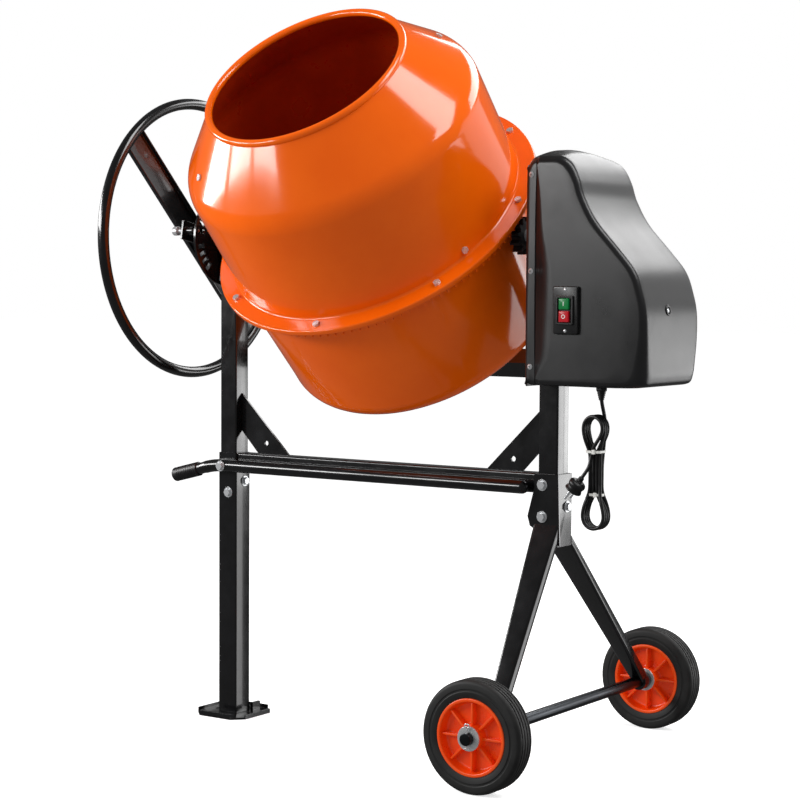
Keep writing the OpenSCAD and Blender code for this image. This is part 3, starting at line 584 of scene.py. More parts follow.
# ---------------------------------------------------------------- camera
def place_camera() -> None:
    """Long lens at the front right, two thirds of the way up, tipped three degrees down."""
    turn, rise, roll = math.radians(34.466), math.radians(3.324), math.radians(0.352)
    place = Vector((2.5996, -3.1940, 0.8810))
    back = Vector((math.sin(turn) * math.cos(rise), -math.cos(turn) * math.cos(rise), math.sin(rise)))
    right = Vector((math.cos(turn), math.sin(turn), 0))
    up = back.cross(right)
    side = right * math.cos(roll) + up * math.sin(roll)
    top = up * math.cos(roll) - right * math.sin(roll)
    data = bpy.data.cameras.new("camera")
    data.lens, data.sensor_width = 91.2, 36.0
    camera = bpy.data.objects.new("camera", data)
    camera.matrix_world = Matrix((side, top, back)).transposed().to_4x4()
    camera.matrix_world.translation = place
    bpy.context.scene.collection.objects.link(camera)
    bpy.context.scene.camera = camera


# ---------------------------------------------------------------- mains lead
@dataclass
class MainsLead:
    """Mains lead that drops from the gland and is folded into a tied hank, with its plug beside it."""

    diameter: float = 0.0066
    exit: tuple[float, float, float] = (0.888, -0.078, 0.686)
    hank_x: float = 0.879
    hank_top: float = 0.653
    hank_high: float = 0.206
    loop_r: float = 0.0213
    neck: float = 0.050
    turns: int = 4
    plug_rear: tuple[float, float, float] = (0.8600, -0.0945, 0.541)
    plug_way: tuple[float, float, float] = (0.6018, 0, 0.7986)
    tie_depths: tuple[float, float] = (0.066, 0.142)
    tie_gap: float = 0.0014
    body: str = "frame"

    def ease(self, depth: Array, first: float, last: float) -> Array:
        """0 between the ties and 1 at the loops, with half a cosine wave in between.

        Args:
            depth: distances below the hank's top.
            first: share of the neck, counted from the ties, where the wave starts.
            last: share where it ends.

        Returns:
            Values from 0 to 1.
        """
        near = np.minimum(depth, self.hank_high - self.diameter - depth) - self.loop_r
        share = np.clip((1 - near / self.neck - first) / (last - first), 0, 1)
        return (1 - np.cos(math.pi * share)) / 2

    def run(self, turn: int, n: int = 30) -> Array:
        """(x, y, depth) points down one right-hand run of a turn.

        Between the ties the outer turns lie outside the inner ones, two layers deep. Towards the
        loops each turn first moves to its own layer and then out to the loop's radius.

        Args:
            turn: the turn's number, 0 at the back.
            n: points on the run.

        Returns:
            (n, 3) points.
        """
        layer_by = 0.55
        d = self.diameter
        depth = np.linspace(self.loop_r, self.hank_high - d - self.loop_r, n)
        waist_x = d * (1.5 if turn in (0, 3) else 0.5)
        waist_y = d * (0.5 if turn < 2 else -0.5)
        layer = d * (1.5 - turn)
        x = waist_x + (self.loop_r - waist_x) * self.ease(depth, 0.0, 1.0)
        y = waist_y + (layer - waist_y) * self.ease(depth, 0.0, layer_by)
        return np.stack([x, y, depth], -1)

    def half_loop(self, y0: float, y1: float, top: bool) -> Array:
        """(x, y, depth) points round half a circle, whose ends belong to the runs beside it.

        The bottom loop goes from right to left and the top one from left to right, while y goes
        from y0 to y1 on half a cosine wave.

        Args:
            y0: y at the start.
            y1: y at the end.
            top: whether it is the top loop.

        Returns:
            (14, 3) points.
        """
        steps = 16
        a = np.radians(np.linspace(180, 0, steps) if top else np.linspace(0, -180, steps))[1:-1]
        share = np.linspace(0, 1, steps)[1:-1]
        centre = self.loop_r if top else self.hank_high - self.diameter - self.loop_r
        return np.stack([self.loop_r * np.cos(a), y0 + (y1 - y0) * (1 - np.cos(math.pi * share)) / 2,
                         centre - self.loop_r * np.sin(a)], -1)

    def route(self) -> Array:
        """Centre line of the whole lead, in object space.

        It drops behind the top loops into the first run, goes round every turn one layer nearer
        each time, then comes down in front of the bundle and bends out to the plug.

        Returns:
            (n, 3) points.
        """
        d, parts = self.diameter, []
        start_lower, down_x, down_points, down_by = 0.012, -0.004, 10, 0.6
        for turn in range(self.turns):
            run, layer = self.run(turn), d * (1.5 - turn)
            if turn == 0:
                run = run[run[:, 2] > self.loop_r + self.neck + start_lower]
            up = self.run(turn)[::-1] * [-1, 1, 1]
            bottom, top = self.half_loop(layer, layer, False), self.half_loop(layer, layer - d, True)
            parts += [run, bottom, up, top]
        down = self.run(self.turns - 1)[:down_points] * [0, 0, 1] + [0, -2.5 * d, 0]
        down[:, 0] = down_x + (self.loop_r - down_x) * self.ease(down[:, 2], 0.0, 1.0)
        down[:, 1] += d * (1 - self.ease(down[:, 2], 0.0, down_by)) * 0.9
        parts.append(down)
        local = np.concatenate(parts)
        ex, ey, ez = self.exit
        base = np.array([self.hank_x, ey, self.hank_top - d / 2])
        points = base + local * [1, 1, -1]
        drop = np.array([[ex, ey, ez], [ex, ey, ez - 0.007], [ex, ey + 0.0030, ez - 0.018],
                         [ex + 0.0005, ey + 0.0090, ez - 0.032], [ex + 0.001, ey + 0.0125, ez - 0.046],
                         [ex + 0.001, ey + 0.0125, ez - 0.060], [ex + 0.001, ey + 0.0105, ez - 0.080]])
        end = np.array(self.plug_rear)
        along = np.array(self.plug_way)
        tail = np.array([end + along * 0.024, end + along * 0.012, end])
        return np.concatenate([drop, points, tail])

    def build(self) -> None:
        ties = [self.tie(k, depth) for k, depth in enumerate(self.tie_depths)]
        plug = self.plug()
        points = self.even_route()
        data = bpy.data.curves.new("mains_cord", "CURVE")
        data.dimensions = "3D"
        data.bevel_depth = self.diameter / 2
        data.bevel_resolution = 4
        data.resolution_u = 1
        data.use_fill_caps = True
        spline = data.splines.new("POLY")
        spline.points.add(len(points) - 1)
        spline.points.foreach_set("co", np.column_stack([points, np.ones(len(points))]).ravel())
        data.materials.append(Paint.SHEATH.value.material())
        cord = bpy.data.objects.new("mains_cord", data)
        bpy.context.scene.collection.objects.link(cord)
        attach(cord, self.body)
        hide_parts("cord_lead", "cord_hank")

    def even_route(self) -> Array:
        """Route drawn again at even steps and relaxed, so that it has no kinks.

        In each pass a point goes 0.4 of the way to the middle of its two neighbours.

        Returns:
            (n, 3) points.
        """
        fine_step, step, passes, share = 0.003, 0.0035, 10, 0.4
        line = self.even(self.route(), fine_step)
        for _ in range(passes):
            line[2:-2] += share * (0.5 * (line[1:-3] + line[3:-1]) - line[2:-2])
        return self.even(line, step)

    def even(self, line: Array, step: float) -> Array:
        """Line drawn again with points one step apart.

        Args:
            line: (m, 3) points.
            step: distance between the new points.

        Returns:
            (n, 3) points.
        """
        run = np.concatenate([[0], np.cumsum(np.linalg.norm(np.diff(line, axis=0), axis=1))])
        at = np.linspace(0, run[-1], int(run[-1] / step))
        return np.stack([np.interp(at, run, line[:, k]) for k in range(3)], -1)

    def tie(self, number: int, depth: float) -> bpy.types.Object:
        """A strap round the hank, with its locking head in front.

        Args:
            number: 0 for the upper tie, which also holds the lead's two ends, or 1.
            depth: its distance below the hank's top.

        Returns:
            The tie.
        """
        back_cords, front_cords = (1.5, 2.1) if number == 0 else (1.0, 1.0)
        half_x = 2 * self.diameter + self.tie_gap
        back = back_cords * self.diameter + self.tie_gap
        front = front_cords * self.diameter + self.tie_gap
        outline = round_corners(np.array([[-half_x, -front], [half_x, -front], [half_x, back],
                                          [-half_x, back]]), 0.0045, 6)
        thick, half_wide = 0.0012, 0.0022
        inner = inset(outline, thick)
        rings = [np.column_stack([o, np.full(len(o), h)]) for o, h in
                 ((outline, -half_wide), (outline, half_wide), (inner, half_wide), (inner, -half_wide))]
        strap = grid_skin(np.stack(rings), wrap_rows=True, wrap_cols=True)
        head = rounded_prism(round_corners(np.array([[-0.003, -0.004], [0.003, -0.004], [0.003, 0.004],
                                                     [-0.003, 0.004]]), 0.001), 0, 0.004, 0.0008)
        lay = frame_matrix(np.array([0.003, -front + 0.001, 0]), np.array([0, -1, 0]))
        shift = np.eye(4)
        shift[:3, 3] = (self.hank_x, self.exit[1], self.hank_top - depth)
        return make_piece(f"hank_tie_{number + 1}", [moved(strap, shift), moved(moved(head, lay), shift)],
                          [Paint.TIE], self.body, ("cord_ties",))

    def plug(self) -> bpy.types.Object:
        """Moulded round plug with a ribbed strain relief, waist grip and two pins.

        Returns:
            The piece.
        """
        m = frame_matrix(np.array(self.plug_rear), -np.array(self.plug_way), (0, 1, 0))
        ribs, pin_r, pin_end, pin_apart = 4, 0.0024, 0.0465, 0.0095
        relief = np.concatenate([np.array([[0.0042, 0.0], [0.0050, 0.0006], [0.0050, 0.0012],
                                           [0.0042, 0.0016]]) + [[0.0001 * k, 0.0018 * k]] * 4
                                 for k in range(ribs)])
        shell = np.array([[0.0058, 0.0082], [0.0105, 0.0092], [0.0142, 0.0118], [0.0155, 0.0150],
                          [0.0150, 0.0185], [0.0138, 0.0215], [0.0146, 0.0250], [0.0158, 0.0275],
                          [0.0158, 0.0292], [0.0150, 0.0300]])
        profile = np.concatenate([[[0.0, 0.0]], relief, smooth_line(shell, 4), [[0.0, 0.0300]]])
        skins = [moved(lathe(profile, 40, closed=False), m)]
        pin = np.concatenate([[[0.0, 0.0292], [pin_r, 0.0292], [pin_r, pin_end]],
                              arc(0.0, pin_end, pin_r, 0, 90, 6)])
        for s in (-1, 1):
            shift = m.copy()
            shift[:3, 3] += s * pin_apart * m[:3, 0]
            skins.append(moved(lathe(pin, 20, closed=False, finish=1), shift))
        return make_piece("mains_plug", skins, [Paint.SHEATH, Paint.ZINC], self.body, ("cord_plug",))


# ---------------------------------------------------------------- drum
@dataclass
class Drum:
    """Two-part drum: a coned upper shell with a rolled mouth and a slightly tapered lower shell."""

    mouth_r: float = 0.192
    mouth_l: float = 0.384
    bead: float = 0.007
    belly_r: float = 0.290
    belly_l: float = 0.275
    corner: float = 0.062
    wall: float = 0.003
    flange_r: float = 0.324
    flange_l: float = 0.057
    low_l: float = -0.223
    low_r: float = 0.281
    low_corner: float = 0.040
    steps: int = 160
    body: str = "drum"

    def cone_angle(self) -> float:
        """Angle of the cone from the drum's axis, in degrees."""
        return math.degrees(math.atan((self.belly_r - self.mouth_r) / (self.mouth_l - self.belly_l)))

    def upper(self) -> bpy.types.Object:
        """Upper shell: flange with a turned lip, belly, cone and rolled bead, one closed profile.

        Returns:
            The piece.
        """
        a, w = self.cone_angle(), self.wall
        reach = self.corner * math.tan(math.radians(a / 2))
        f, l = self.flange_r, self.flange_l
        belly = arc(self.belly_r - self.corner, self.belly_l - reach, self.corner, 0, a, 18)
        inner = arc(self.belly_r - self.corner, self.belly_l - reach, self.corner - w, a, 0, 18)
        bead = arc(self.mouth_r - 0.001, self.mouth_l, self.bead, -40, 288, 30)
        skin = np.concatenate([
            arc(f - 0.001, l - 0.009, 0.001, -90, 0, 4), arc(f - 0.0035, l - 0.0035, 0.0035, 0, 90, 7),
            arc(self.belly_r + 0.006, l + 0.006, 0.006, 270, 180, 7), belly, bead])
        inside = np.concatenate([inner, [[self.belly_r - w, l - 0.003]],
                                 [[self.belly_r - w, l - 0.0032], [f - 0.004, l - 0.0032]],
                                 [[f - 0.002, l - 0.005], [f - 0.002, l - 0.010]]])
        profile = np.concatenate([skin, inside])
        turned = lathe(profile, self.steps)
        piece = make_piece("drum_upper", [moved(turned, DRUM_FRAME)],
                           [Paint.ORANGE_ENAMEL, Paint.SHADED_INSIDE_ENAMEL], self.body, ("drum_upper_shell",))
        # inner faces take the darker inside enamel: painted shade inside the drum
        self.paint_inside_shade(piece, self.belly_r - w - 0.0005, self.flange_l - 0.001)
        return piece

    def paint_inside_shade(self, piece: bpy.types.Object, radius: float, above: float) -> None:
        """Gives the inner faces the inside finish, whose darker colour is painted shade inside the drum.

        A face is inside when its outward normal points to the drum's axis and it is nearer the
        axis than the belly's inner wall.

        Args:
            piece: the shell.
            radius: inner wall's radius.
            above: lowest distance along the axis.
        """
        mesh = piece.data
        count = len(mesh.polygons)
        centre, normal = np.empty(count * 3), np.empty(count * 3)
        mesh.polygons.foreach_get("center", centre)
        mesh.polygons.foreach_get("normal", normal)
        local = (centre.reshape(-1, 3) - DRUM_FRAME[:3, 3]) @ DRUM_FRAME[:3, :3]
        facing = normal.reshape(-1, 3) @ DRUM_FRAME[:3, :3]
        r = np.linalg.norm(local[:, :2], axis=1)
        inward = (facing[:, :2] * local[:, :2]).sum(1) < -0.2 * r
        floor = (facing[:, 2] > 0.5) & (local[:, 2] < self.low_l + 0.02)
        inside = (inward | floor) & (r < radius + 0.001) & (local[:, 2] > above)
        inside &= local[:, 2] < self.mouth_l - 0.005
        # inner faces get material 1, the darker enamel that paints the shade inside the drum
        mesh.polygons.foreach_set("material_index", inside.astype(np.int32))
        mesh.update()

    def lower(self) -> bpy.types.Object:
        """Lower shell: flange, tapered wall with a shallow rolled step and a rounded bottom.

        Returns:
            The piece.
        """
        w, c, l = self.wall, self.low_corner, self.flange_l
        base = self.low_l + c
        outer = np.concatenate([
            arc(self.flange_r - 0.0045, l - 0.0045, 0.0013, -90, 90, 6)[::-1],
            arc(self.belly_r + 0.005, l - 0.0108, 0.005, 90, 180, 6),
            [[self.low_r + 0.0075, -0.02], [self.low_r + 0.0004, base + 0.02], [self.low_r, base]],
            arc(self.low_r - c, base, c, -2, -86, 12), [[0.16, self.low_l + 0.0002],
                                                       [0.10, self.low_l], [0.0, self.low_l]]])
        inner = np.concatenate([
            [[0.0, self.low_l + w], [0.16, self.low_l + w]],
            arc(self.low_r - c, base, c - w, -86, -2, 12),
            [[self.low_r - w, base], [self.belly_r - w, l - 0.0035]]])
        turned = lathe(np.concatenate([outer, inner]), self.steps)
        piece = make_piece("drum_lower", [moved(turned, DRUM_FRAME)],
                           [Paint.ORANGE_ENAMEL, Paint.SHADED_INSIDE_ENAMEL], self.body,
                           ("drum_lower_shell", "drum_bottom"))
        # inner faces take the darker inside enamel: painted shade inside the drum
        self.paint_inside_shade(piece, self.belly_r - w, self.low_l)
        return piece

    def build(self) -> None:
        """Makes both shells and the bolts."""
        self.upper()
        self.lower()
        edged_copy("flange_bolt_set", "flange_bolts", Paint.ZINC, self.body, 0.0005, 2)
        edged_copy("blade_bolt_set", "blade_bolts", Paint.ZINC, self.body, 0.0005, 2)


# ---------------------------------------------------------------- handwheel and lock
@dataclass
class Handwheel:
    """Bent-tube handwheel with a pressed channel across it, its hub and the tilt lock."""

    plane_x: float = -0.105
    ring_r: float = 0.273
    tube_r: float = 0.011
    bar_half: float = 0.029
    bar_deep: float = 0.012
    sheet: float = 0.003
    bar_turn: float = 134.5
    body: str = "yoke"

    def ring(self) -> bpy.types.Object:
        """Ring: a circle of radius tube_r carried round a circle of radius ring_r."""
        skin = lathe(arc(self.ring_r, 0, self.tube_r, 0, 360, 29)[:-1], 168)
        return make_piece("handwheel_ring", [moved(skin, turned_x(self.plane_x, 0, AXIS_Z))],
                          [Paint.BLACK_ENAMEL], self.body, ("handwheel_rim",))

    def bar(self) -> bpy.types.Object:
        """Channel across the ring, each line of it ending on the ring's inner circle.

        A line of the profile at distance y from the middle ends at the square root of reach
        squared less y squared, where reach goes a weld's depth past the ring's inner circle.

        Returns:
            The piece.
        """
        h, d, t = self.bar_half, self.bar_deep, self.sheet
        outline = np.array([[-h, -0.002], [h, -0.002], [h, d - 0.002], [h - t, d - 0.002],
                            [h - t, t - 0.002], [t - h, t - 0.002], [t - h, d - 0.002], [-h, d - 0.002]])
        bend_r, edge_r, weld = 0.0035, 0.001, 0.003
        profile = round_corners(outline, np.array([bend_r] * 2 + [edge_r] * 6), 5)
        reach = np.sqrt((self.ring_r - self.tube_r + weld) ** 2 - profile[:, 0] ** 2)
        at = np.linspace(-1, 1, 9)[:, None]
        points = np.stack([profile[:, 1] + 0 * at, at * reach, profile[:, 0] + 0 * at], -1)
        a = math.radians(self.bar_turn)
        m = np.eye(4)
        m[:3, :3] = [[1, 0, 0], [0, math.cos(a), -math.sin(a)], [0, math.sin(a), math.cos(a)]]
        m[:3, 3] = (self.plane_x, 0, AXIS_Z)
        return make_piece("handwheel_channel", [moved(grid_skin(points, wrap_cols=True, caps=True), m)],
                          [Paint.BLACK_ENAMEL], self.body, ("handwheel_bar",))

    def hub(self) -> bpy.types.Object:
        """Turned hub sleeve, with the washer and nut that hold the channel on the shaft.

        Returns:
            The piece.
        """
        place = turned_x(self.plane_x, 0, AXIS_Z)
        sleeve = lathe(chamfered(0.012, 0.024, 0.0025, 0.042, 0.002), 48)
        washer = lathe(chamfered(0.004, 0.019, -0.0052, -0.0021, 0.0008), 48, finish=1)
        nut = rounded_prism(arc(0, 0, 0.0125, 0, 360, 7)[:-1], -0.0072, -0.0045, 0.0008)
        nut.finish = 1
        return make_piece("handwheel_hub_set", [moved(s, place) for s in (sleeve, washer, nut)],
                          [Paint.CAST_IRON_AND_RECESS_SHADE, Paint.ZINC], self.body, ("handwheel_hub",))

    def build(self) -> None:
        """Makes the ring, channel, hub and lock pieces."""
        self.ring()
        self.bar()
        self.hub()
        edged_copy("tilt_lock_disc", "lock_disc", Paint.BLACK_ENAMEL, "frame", 0.0008)
        edged_copy("lock_plate", "lock_bracket", Paint.BLACK_ENAMEL, self.body, 0.0008)
        edged_copy("lock_bolt", "lock_pin", Paint.ZINC, "lock_pin", 0.0008)


# ---------------------------------------------------------------- tube frame
@dataclass
class TubeFrame:
    """Uprights, foot, rail, braces, carry bar and wheel stand."""

    corner: float = 0.0035
    leg_wall: float = 0.0023
    post_wall: float = 0.0025
    top_drop: float = 0.022
    body: str = "frame"

    def square_tube(self, half_x: float, half_y: float, wall: float, length: float) -> Skin:
        """Open square tube from 0 to length along Z, with rolled corners and eased ends.

        Args:
            half_x: half its width along X.
            half_y: half its width along Y.
            wall: wall thickness.
            length: its length.

        Returns:
            A closed skin.
        """
        box = np.array([[-half_x, -half_y], [half_x, -half_y], [half_x, half_y], [-half_x, half_y]])
        outer = round_corners(box, self.corner, 7)
        inner = inset(outer, wall)
        ease = 0.0006
        rings = [(inset(outer, ease), 0), (outer, ease), (outer, length - ease),
                 (inset(outer, ease), length), (inner, length), (inner, 0)]
        return grid_skin(np.stack([np.column_stack([o, np.full(len(o), h)]) for o, h in rings]),
                         wrap_rows=True, wrap_cols=True)

    def uprights(self) -> None:
        """Left sleeve leg, both uprights and the lower rail."""
        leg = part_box("left_leg")
        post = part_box("left_post")
        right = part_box("right_post")
        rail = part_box("lower_rail")
        half_leg = (leg[1][0] - leg[0][0]) / 2
        top = AXIS_Z - self.top_drop
        shift = np.eye(4)
        parts = [("foot_sleeve", "left_leg", half_leg, self.leg_wall, 0.0, leg[0][2], leg[1][2]),
                 ("left_upright", "left_post", POST_HALF, self.post_wall, 0.0, post[0][2], top),
                 ("right_upright", "right_post", POST_HALF, self.post_wall, RIGHT_X, right[0][2], top)]
        for name, node, half, wall, x, low, high in parts:
            shift[:3, 3] = (x, 0, low)
            make_piece(name, [moved(self.square_tube(half, half, wall, high - low), shift)],
                       [Paint.BLACK_ENAMEL], self.body, (node,))
        half_z = (rail[1][2] - rail[0][2]) / 2
        place = turned_x(rail[0][0], 0, (rail[0][2] + rail[1][2]) / 2)
        tube_skin = self.square_tube(rail[1][1], half_z, self.post_wall, rail[1][0] - rail[0][0])
        make_piece("rail_tube", [moved(tube_skin, place)], [Paint.BLACK_ENAMEL], self.body,
                   ("lower_rail",))

    def carry_bar(self) -> None:
        """Round bar bent down at the handle end, its domed plugs and its two welded pegs."""
        low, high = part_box("carry_bar")
        r, bend_x, bend_reach, handle_long, peg_in = 0.0125, -0.022, 0.022, 0.096, 0.060
        y, z = low[1] + r, RAIL_TOP - 2 * r
        lean = math.radians(104)
        along = np.array([-math.sin(lean), 0, math.cos(lean)])
        bend = np.array([bend_x, y, z])
        far = bend + along * handle_long
        t = np.linspace(0, 1, 9)[:, None]
        corner = bend + np.array([bend_reach, 0, 0]) * (1 - t) ** 2 + along * bend_reach * t ** 2
        straight = np.array([[x, y, z] for x in np.linspace(high[0] - r, 0.004, 24)])
        handle = np.linspace(corner[-1], far, 12)[1:]
        cap = arc(0, 0, 1, 80, 0, 6)
        start = straight[0] + np.array([1, 0, 0]) * (r * cap[:, 1:])
        path = np.concatenate([start, straight[1:], corner, handle])
        radius = np.concatenate([np.maximum(r * cap[:, 0], 1e-4),
                                 np.full(len(straight) - 1 + len(corner), r),
                                 np.full(len(handle), r - 0.0008)])
        skins = [tube(path, radius, 28, up=(0, 1, 0))]
        peg = lathe(chamfered(0.0, 0.006, 0.0, -0.018 - y, 0.0005), 20, closed=False)
        skins += [moved(peg, turned_y(x, y, z)) for x in (peg_in, RIGHT_X - peg_in)]
        make_piece("carry_bar_bent", skins, [Paint.BLACK_ENAMEL], self.body, ("carry_bar",))
        rib_count, first_rib, rib_step = 11, 0.0425, 0.005
        rib = np.array([[0.0145, 0.0], [0.0145, 0.0034], [0.0139, 0.0039], [0.0139, 0.0046]])
        ribs = np.concatenate([[[0.0, 0.0405]], [[0.0117, 0.0405]], [[0.0135, 0.0415]],
                               *(rib + [0, first_rib + rib_step * k] for k in range(rib_count)),
                               arc(0.0105, 0.1035, 0.0040, 0, 90, 6), [[0.0, 0.1075]]])
        make_piece("carry_grip_ribbed", [moved(lathe(ribs, 36, closed=False), frame_matrix(bend, along))],
                   [Paint.SHEATH], self.body, ("carry_grip",))

    def stand_leg(self, name: str, node: str, front: Array, rear: Array,
                  hub_y: tuple[float, float]) -> None:
        """Tapered pressed leg between two side lines, with its axle boss.

        At each step a rounded rectangle spans the two side lines, and its width across grows from
        28 mm at the axle to 52 mm at the socket.

        Args:
            name: the piece's name.
            node: the CAD node.
            front: two (y, z) ends of one side line, socket end first.
            rear: two (y, z) ends of the other side line.
            hub_y: the boss's two ends.
        """
        axle_x, wheel_z = AXLE[0], AXLE[2]
        t = np.linspace(0, 1, 24)[:, None]
        a = front[0] * (1 - t) + front[1] * t
        b = rear[0] * (1 - t) + rear[1] * t
        middle, span = (a + b) / 2, np.linalg.norm(a - b, axis=1) / 2
        across = unit(a - b)
        rise = (middle[:, 1] - wheel_z) / (middle[0, 1] - wheel_z)
        half = 0.014 + 0.012 * np.clip(rise, 0, 1)
        centre_x = axle_x - 0.007 * np.clip(rise, 0, 1)
        unit_box = np.array([[-1, -1], [1, -1], [1, 1], [-1, 1.0]])
        rings = []
        for h, s, c, m, d in zip(half, span, centre_x, middle, across):
            ring = round_corners(unit_box * [h, s], 0.005, 6)
            rings.append(np.column_stack([c + ring[:, 0], m[0] + ring[:, 1] * d[0],
                                          m[1] + ring[:, 1] * d[1]]))
        boss = lathe(chamfered(0.0112, 0.017, 0.0, hub_y[1] - hub_y[0], 0.001), 40)
        make_piece(name, [grid_skin(np.stack(rings), wrap_cols=True, caps=True),
                          moved(boss, turned_y(axle_x, hub_y[0], wheel_z))],
                   [Paint.BLACK_ENAMEL], self.body, (node,))

    def stand(self) -> None:
        """Both legs of the wheel stand."""
        top, wheel_z = RAIL_TOP, AXLE[2]
        front_y, rear_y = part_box("front_stand_leg")[0][1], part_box("rear_stand_leg")[1][1]
        half = 0.025
        self.stand_leg("front_leg_pressed", "front_stand_leg",
                       np.array([[-half, top - 0.092], [front_y, wheel_z - 0.010]]),
                       np.array([[-half, top - 0.128], [front_y + 0.022, wheel_z - 0.016]]),
                       (front_y, front_y + 0.026))
        self.stand_leg("rear_leg_pressed", "rear_stand_leg",
                       np.array([[half, top - 0.112], [rear_y, wheel_z + 0.004]]),
                       np.array([[half, top - 0.132], [rear_y - 0.014, wheel_z - 0.014]]),
                       (rear_y - 0.026, rear_y))

    def bearing(self, name: str, node: str, x: float, r_in: float, r_out: float) -> None:
        """Cast bearing housing with rounded rims, as deep as an upright.

        Args:
            name: the piece's name.
            node: the CAD node.
            x: its place along the tilt axis.
            r_in: bore radius.
            r_out: outer radius, with the rounding.
        """
        h = POST_HALF + 0.0009
        profile = np.concatenate([[[r_in, -h]], arc(r_out - 0.003, -h + 0.002, 0.002, -90, 0, 5),
                                  arc(r_out - 0.003, h - 0.002, 0.002, 0, 90, 5), [[r_in, h]]])
        make_piece(name, [moved(lathe(profile, 56), turned_x(x, 0, AXIS_Z))],
                   [Paint.CAST_IRON_AND_RECESS_SHADE], self.body, (node,))

    def build(self) -> None:
        """Makes every frame piece."""
        self.uprights()
        self.carry_bar()
        self.stand()
        self.bearing("left_bearing_cast", "left_bearing", 0.0, 0.0201, 0.033)
        self.bearing("right_bearing_cast", "right_bearing", RIGHT_X, 0.0251, 0.038)
        edged_copy("foot_pressed", "foot_plate", Paint.BLACK_ENAMEL, self.body, 0.0010)
        edged_copy("left_gusset", "left_brace", Paint.BLACK_ENAMEL, self.body, 0.0010)
        edged_copy("right_gusset", "right_brace", Paint.BLACK_ENAMEL, self.body, 0.0010)
        edged_copy("socket_plates", "stand_socket", Paint.BLACK_ENAMEL, self.body, 0.0010)
        edged_copy("leg_bolt_set", "leg_bolts", Paint.ZINC, self.body, 0.0006, 2)
        edged_copy("stand_bolt_set", "stand_bolts", Paint.ZINC, self.body, 0.0006, 2)


# ---------------------------------------------------------------- wheels
AXLE, _ = joint_place("front_wheel_spin")


@dataclass
class Wheel:
    """Solid rubber tyre on a ribbed moulded centre."""

    name: str
    body: str
    face_y: float
    radius: float = 0.100
    width: float = 0.047
    rim_r: float = 0.0685
    hub_r: float = 0.021
    ribs: int = 8

    def tyre(self) -> bpy.types.Object:
        """Tyre: rounded shoulders, four grooves in the tread and a raised ring on each side wall.

        Returns:
            The piece.
        """
        w, r = self.width, self.radius
        groove = np.array([[0, -0.0016], [-0.0026, -0.0009], [-0.0026, 0.0009], [0, 0.0016]])
        tread = np.concatenate([groove + [r, w * k] for k in (0.24, 0.41, 0.59, 0.76)])
        side = np.array([[self.rim_r, 0.0030], [self.rim_r + 0.004, 0.0012], [self.rim_r + 0.011, 0.0004],
                         [self.rim_r + 0.0125, 0.0015], [self.rim_r + 0.0150, 0.0015],
                         [self.rim_r + 0.0165, 0.0006]])
        shoulder = arc(r - 0.0085, 0.0090, 0.0085, -80, -4, 8)
        far = np.concatenate([side, shoulder])[::-1] * [1, -1] + [0, w]
        profile = np.concatenate([side, shoulder, tread, far])
        return make_piece(f"{self.name}_tyre_solid", [self.placed(lathe(profile, 128))],
                          [Paint.TYRE], self.body, (f"{self.name}_tyre",), 30.0)

    def placed(self, skin: Skin) -> Skin:
        """Skin moved from wheel space, where Z runs from the near face, to the axle."""
        return moved(skin, turned_y(AXLE[0], self.face_y, AXLE[2]))

    def centre(self) -> bpy.types.Object:
        """Moulded centre: rim band with lips, dished web, hub and radial ribs on both sides.

        Returns:
            The piece.
        """
        w, r, h = self.width, self.rim_r, self.hub_r
        half = np.concatenate([
            [[0.0111, 0.0]], arc(h - 0.002, 0.002, 0.002, -90, 0, 4), [[h + 0.001, w / 2 - 0.009]],
            arc(h + 0.006, w / 2 - 0.009, 0.005, 180, 90, 5),
            arc(r - 0.013, w / 2 - 0.009, 0.005, 90, 0, 5),
            [[r - 0.0062, 0.0045]], arc(r - 0.0042, 0.0030, 0.0020, 180, 270, 4),
            arc(r - 0.0018, 0.0028, 0.0018, -90, 0, 4)])
        profile = np.concatenate([half, half[::-1] * [1, -1] + [0, w]])
        skins = [self.placed(lathe(profile, 96))]
        for k in range(self.ribs):
            a = TAU * k / self.ribs
            length = r - h - 0.008
            outline = round_corners(np.array([[-0.0024, 0], [0.0024, 0], [0.0017, length],
                                              [-0.0017, length]]), 0.0008, 3)
            rib = rounded_prism(outline, 0.006, w - 0.006, 0.0009, 3)
            turn = np.eye(4)
            turn[:2, :2] = [[math.cos(a), -math.sin(a)], [math.sin(a), math.cos(a)]]
            shift = np.eye(4)
            shift[1, 3] = h - 0.001
            skins.append(self.placed(moved(rib, turn @ shift)))
        return make_piece(f"{self.name}_wheel_centre", skins, [Paint.MOULDED_ORANGE], self.body,
                          (f"{self.name}_rim",))

    def build(self) -> None:
        """Makes the tyre and the centre."""
        self.tyre()
        self.centre()


